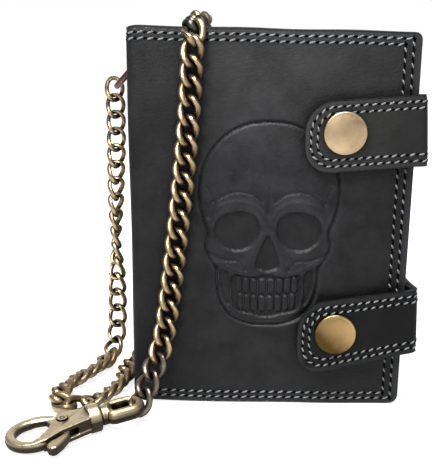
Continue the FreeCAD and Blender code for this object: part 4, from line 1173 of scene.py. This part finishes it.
def along_x(profile, steps, x):
    """A turned body that lies along X, from x on."""
    return shifted(moved(turned(profile, steps), Matrix.Rotation(math.pi / 2, 4, "Y")), x, 0, 0)


def bar_loop(points, radius, sides):
    """A round bar closed on itself, along points that lie in the XY plane."""
    bm = bmesh.new()
    rings = []
    for before, point, after in zip(points[-1:] + points, points, points[1:] + points[:1]):
        across = frame_at(point, (0, 0, 1), (Vector(after) - Vector(before)).normalized())
        made = bmesh.ops.create_circle(bm, cap_ends=False, segments=sides, radius=radius, matrix=across)
        rings.append(list({e for v in made["verts"] for e in v.link_edges}))
    for a, b in zip(rings, rings[1:] + rings[:1]):
        bmesh.ops.bridge_loops(bm, edges=a + b)
    return face_out(bm)


def arc_points(radius, start, end, steps, x, y):
    """Points on an arc about (x, y), from one angle to another in degrees."""
    angles = [math.radians(start + (end - start) * k / steps) for k in range(steps + 1)]
    return [(x + radius * math.cos(angle), y + radius * math.sin(angle), 0) for angle in angles]


def hook_body():
    """The eye, open where the gate closes it, two face plates that hold the gate, and the collar."""
    eye = wire_arc(EYE_R, EYE_WIRE, 84, 344, 44, 16)
    for vertex in eye.verts:
        # the bar is nearly square, with its corners filed off
        out = (math.hypot(vertex.co.x, vertex.co.y) - EYE_R) / (EYE_WIRE / 2)
        high = vertex.co.z / (EYE_WIRE / 2)
        grown = EYE_R + math.copysign(abs(out) ** EYE_SQUARE, out) * EYE_WIRE * EYE_TRIM
        vertex.co.xy *= grown / max(1e-6, EYE_R + out * EYE_WIRE / 2)
        vertex.co.z = math.copysign(abs(high) ** EYE_SQUARE, high) * EYE_WIRE * EYE_TRIM
    face = [
        (-6.0, -7.9), (-2.6, -9.4), (2.2, -9.7), (7.8, -7.4), (19.2, -4.7), (19.2, 3.8), (10.4, 5.9),
        (7.0, 1.2), (4.2, -3.6), (1.6, -5.9), (-2.0, -7.0), (-5.0, -6.6),
    ]
    upper = outline_bm(face, 1.7, 0.3, z=2.15)
    for vertex in upper.verts:
        # the face runs down into the top of the eye's bar
        fall = min(1.0, max(0.0, (7.0 - vertex.co.x) / 12.0))
        vertex.co.z -= 1.25 * fall * fall * (3 - 2 * fall)
    lower = outline_bm([(2.0, -9.3)] + face[3:9] + [(2.0, -5.2)], 1.6, 0.3, z=-2.2)
    web = outline_bm([(1.0, -9.4), (4.4, -8.4), (4.4, -2.8), (1.0, -5.4)], 4.6)
    block = outline_bm([(14.4, -5.6), (19.4, -4.4), (19.4, 3.7), (14.4, 4.8)], 5.6)
    rim = [(0, 0), (4.6, 0), (5.05, 0.3), (5.15, 0.8), (5.15, 3.7), (5.05, 4.2), (4.6, 4.5), (0, 4.5)]
    solids = merged(eye, upper, lower, web, block, along_x(rim, 40, COLLAR_X))
    body = cast(moved(solids, HOOK_PLACE), "cast_hook_body", HOOK)
    # the rivet's head is ringed, and has a small ring in its middle: black rings, a painted shadow in the
    # grooves
    small = shifted(wire_arc(0.8, 0.26, 0, 360, 20, 6), 0, 0, 0.33)
    rings = merged(wire_arc(PIN_HEAD_R + 0.16, 0.4, 0, 360, 32, 6), small)
    fit(piece(moved(shifted(rings, *PIVOT, PIN_TOP), HOOK_PLACE), "rivet_groove_shadow", HOLE), "hook")
    fit(body, "hook", "hook_body")


def gate():
    """The sprung lever: a faceted nose that closes the eye, and a thumb tab curling round outside it."""
    nose = [
        (-0.4, 10.0), (3.0, 10.3), (6.2, 9.3), (9.2, 7.4), (9.6, 5.0), (7.4, 4.6), (4.6, 6.0), (2.0, 6.6),
        (-0.9, 6.5),
    ]
    arm = [(5.6, 4.6), (8.6, 7.0), (12.6, 4.0), (11.6, -3.2), (8.9, -3.2)]
    thumb = [
        (8.9, -3), (9.2, -5.3), (8.4, -7.4), (6.2, -8.8), (3.4, -10), (1.6, -11.6), (1.4, -13.4),
        (2.5, -14.9), (4.0, -14.9), (6.9, -12.7), (9.5, -9.8), (10.9, -7), (11.6, -3),
    ]
    plates = [outline_bm(nose, 3.3, 0.75, 1), outline_bm(arm, 2.36, 0.3), outline_bm(thumb, 3.4, 0.4, 1)]
    boss = shifted(turned([(1.2, -1.2), (3.2, -1.2), (3.2, 1.2), (1.2, 1.2)], 32, close=False), *PIVOT, 0)
    solids = moved(merged(*plates, boss), HOOK_PLACE)
    fit(cast(solids, "gate_lever_cast", HOOK, 0.2, 0), "gate_lever", "gate")


def bail():
    """The swivel's loop: a stem and boss, a cross bar, two arms and a round end."""
    corner, half, bar_x, arm_x, end, radius, tall = 1.8, 3.9, 27, 32, 34.6, 1.95, 1.4
    points = arc_points(half, -90, 90, 20, end, 0)
    points += [(arm_x, half, 0)] + arc_points(corner, 90, 180, 5, bar_x + corner, half - corner)
    points += [(bar_x, 1, 0), (bar_x, -1, 0)]
    points += arc_points(corner, 180, 270, 5, bar_x + corner, -half + corner) + [(arm_x, -half, 0)]
    loop = bar_loop(points, radius, 14)
    bmesh.ops.scale(loop, verts=loop.verts, vec=Vector((1, 1, tall)))
    stem = [(0, 0), (1.5, 0), (1.5, 5.6), (3.2, 5.8), (3.6, 6.4), (3.6, 8.6), (2.8, 9.6), (0, 9.6)]
    solids = moved(merged(loop, along_x(stem, 32, STEM_X)), HOOK_PLACE)
    fit(cast(solids, "swivel_bail_cast", BAIL), "bail", "swivel_bail")


hook_body()
gate()
bail()


# ---------------- what still shows of the solid part, and its finish
SHOWN = {"tab_eyelet": RING, "gate_pin": HOOK, "gate_spring": STEEL}
for strap_name in STRAPS:
    for part, finish in (("socket", STEEL), ("stud", STEEL), ("rivet", CAP)):
        SHOWN["%s_snap_%s" % (strap_name, part)] = finish
for node, finish in SHOWN.items():
    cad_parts[node].data.materials.clear()
    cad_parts[node].data.materials.append(finish)


# ---------------- room, light and camera
def stage():
    """A pale floor with soft shadows, and white behind."""
    m = Maker("white_paper")
    paper = m.finish(Base_Color=tint("#c8c8c8"), Roughness=0.9)
    light = m.node("LightPath")
    # plain white away from the object, so that only the shadow near it shows
    spot = m.node("NewGeometry").outputs["Position"]
    away = m.node("VectorMath", {0: spot}, operation="LENGTH").outputs["Value"]
    seen = m.math("MULTIPLY", light.outputs["Is Camera Ray"], m.ramp(away, 0.12, 0.34, 0.8, 1.0))
    mirrored = m.math("MULTIPLY", light.outputs["Is Glossy Ray"], 0.3)
    glow = m.node("Emission", {"Color": tint("#ffffff"), "Strength": m.math("MAXIMUM", seen, mirrored)})
    surface = m.tree.nodes["Principled BSDF"].outputs["BSDF"]
    both = m.node("AddShader", {0: surface, 1: glow.outputs["Emission"]})
    m.feed(m.tree.nodes["Material Output"], {"Surface": both.outputs["Shader"]})
    bm = bmesh.new()
    bmesh.ops.create_grid(bm, x_segments=1, y_segments=1, size=3000)
    piece(bm, "floor", paper)
    # the room is white to look at, and lights the object only a little
    room = Maker("white_room", "world")
    bpy.context.scene.world = room.made
    strength = room.ramp(room.node("LightPath").outputs["Is Camera Ray"], 0.0, 1.0, 0.16, 1.0)
    room.feed(room.tree.nodes["Background"], {"Color": (1, 1, 1, 1), "Strength": strength})


def area_light(name, place, aim, size, power):
    data = bpy.data.lights.new(name, "AREA")
    data.shape, data.size, data.size_y, data.energy = "RECTANGLE", size[0] * MM, size[1] * MM, power
    light = bpy.data.objects.new(name, data)
    turn = (Vector(aim) - Vector(place)).to_track_quat("-Z", "Y").to_matrix().to_4x4()
    light.matrix_world = Matrix.Translation(Vector(place) * MM) @ turn
    bpy.context.scene.collection.objects.link(light)


CAMERA_AT, LENS = (-21.4, -321.9, 148.4), 67.95


def camera():
    """A 68 mm lens a third of a metre in front, looking a little down."""
    pitch, yaw, roll = 0.2583, 0.0056, -0.0144
    ahead = Vector((math.sin(yaw) * math.cos(pitch), math.cos(yaw) * math.cos(pitch), -math.sin(pitch)))
    right = ahead.cross((0, 0, 1)).normalized()
    up = right.cross(ahead)
    right, up = right * math.cos(roll) - up * math.sin(roll), up * math.cos(roll) + right * math.sin(roll)
    data = bpy.data.cameras.new("camera")
    data.sensor_fit, data.sensor_height, data.lens = "VERTICAL", 36.0, LENS
    made = bpy.data.objects.new("camera", data)
    turn = Matrix((right, up, -ahead)).transposed().to_4x4()
    made.matrix_world = Matrix.Translation(Vector(CAMERA_AT) * MM) @ turn
    bpy.context.scene.collection.objects.link(made)
    bpy.context.scene.camera = made
    data.clip_start, data.clip_end = 0.01, 20


stage()
area_light("key", (-150, -310, 430), (0, 0, 75), (130, 130), 2.3)
area_light("front", (-60, -560, 230), (0, 0, 60), (420, 300), 0.5)
area_light("top", (-70, -150, 520), (0, -10, 70), (420, 120), 3.6)
area_light("back", (0, 640, 260), (0, 0, 30), (1100, 460), 1.3)
area_light("fill", (330, -260, 160), (0, 0, 60), (300, 300), 0.2)
camera()
bpy.context.scene.view_settings.view_transform = "Standard"
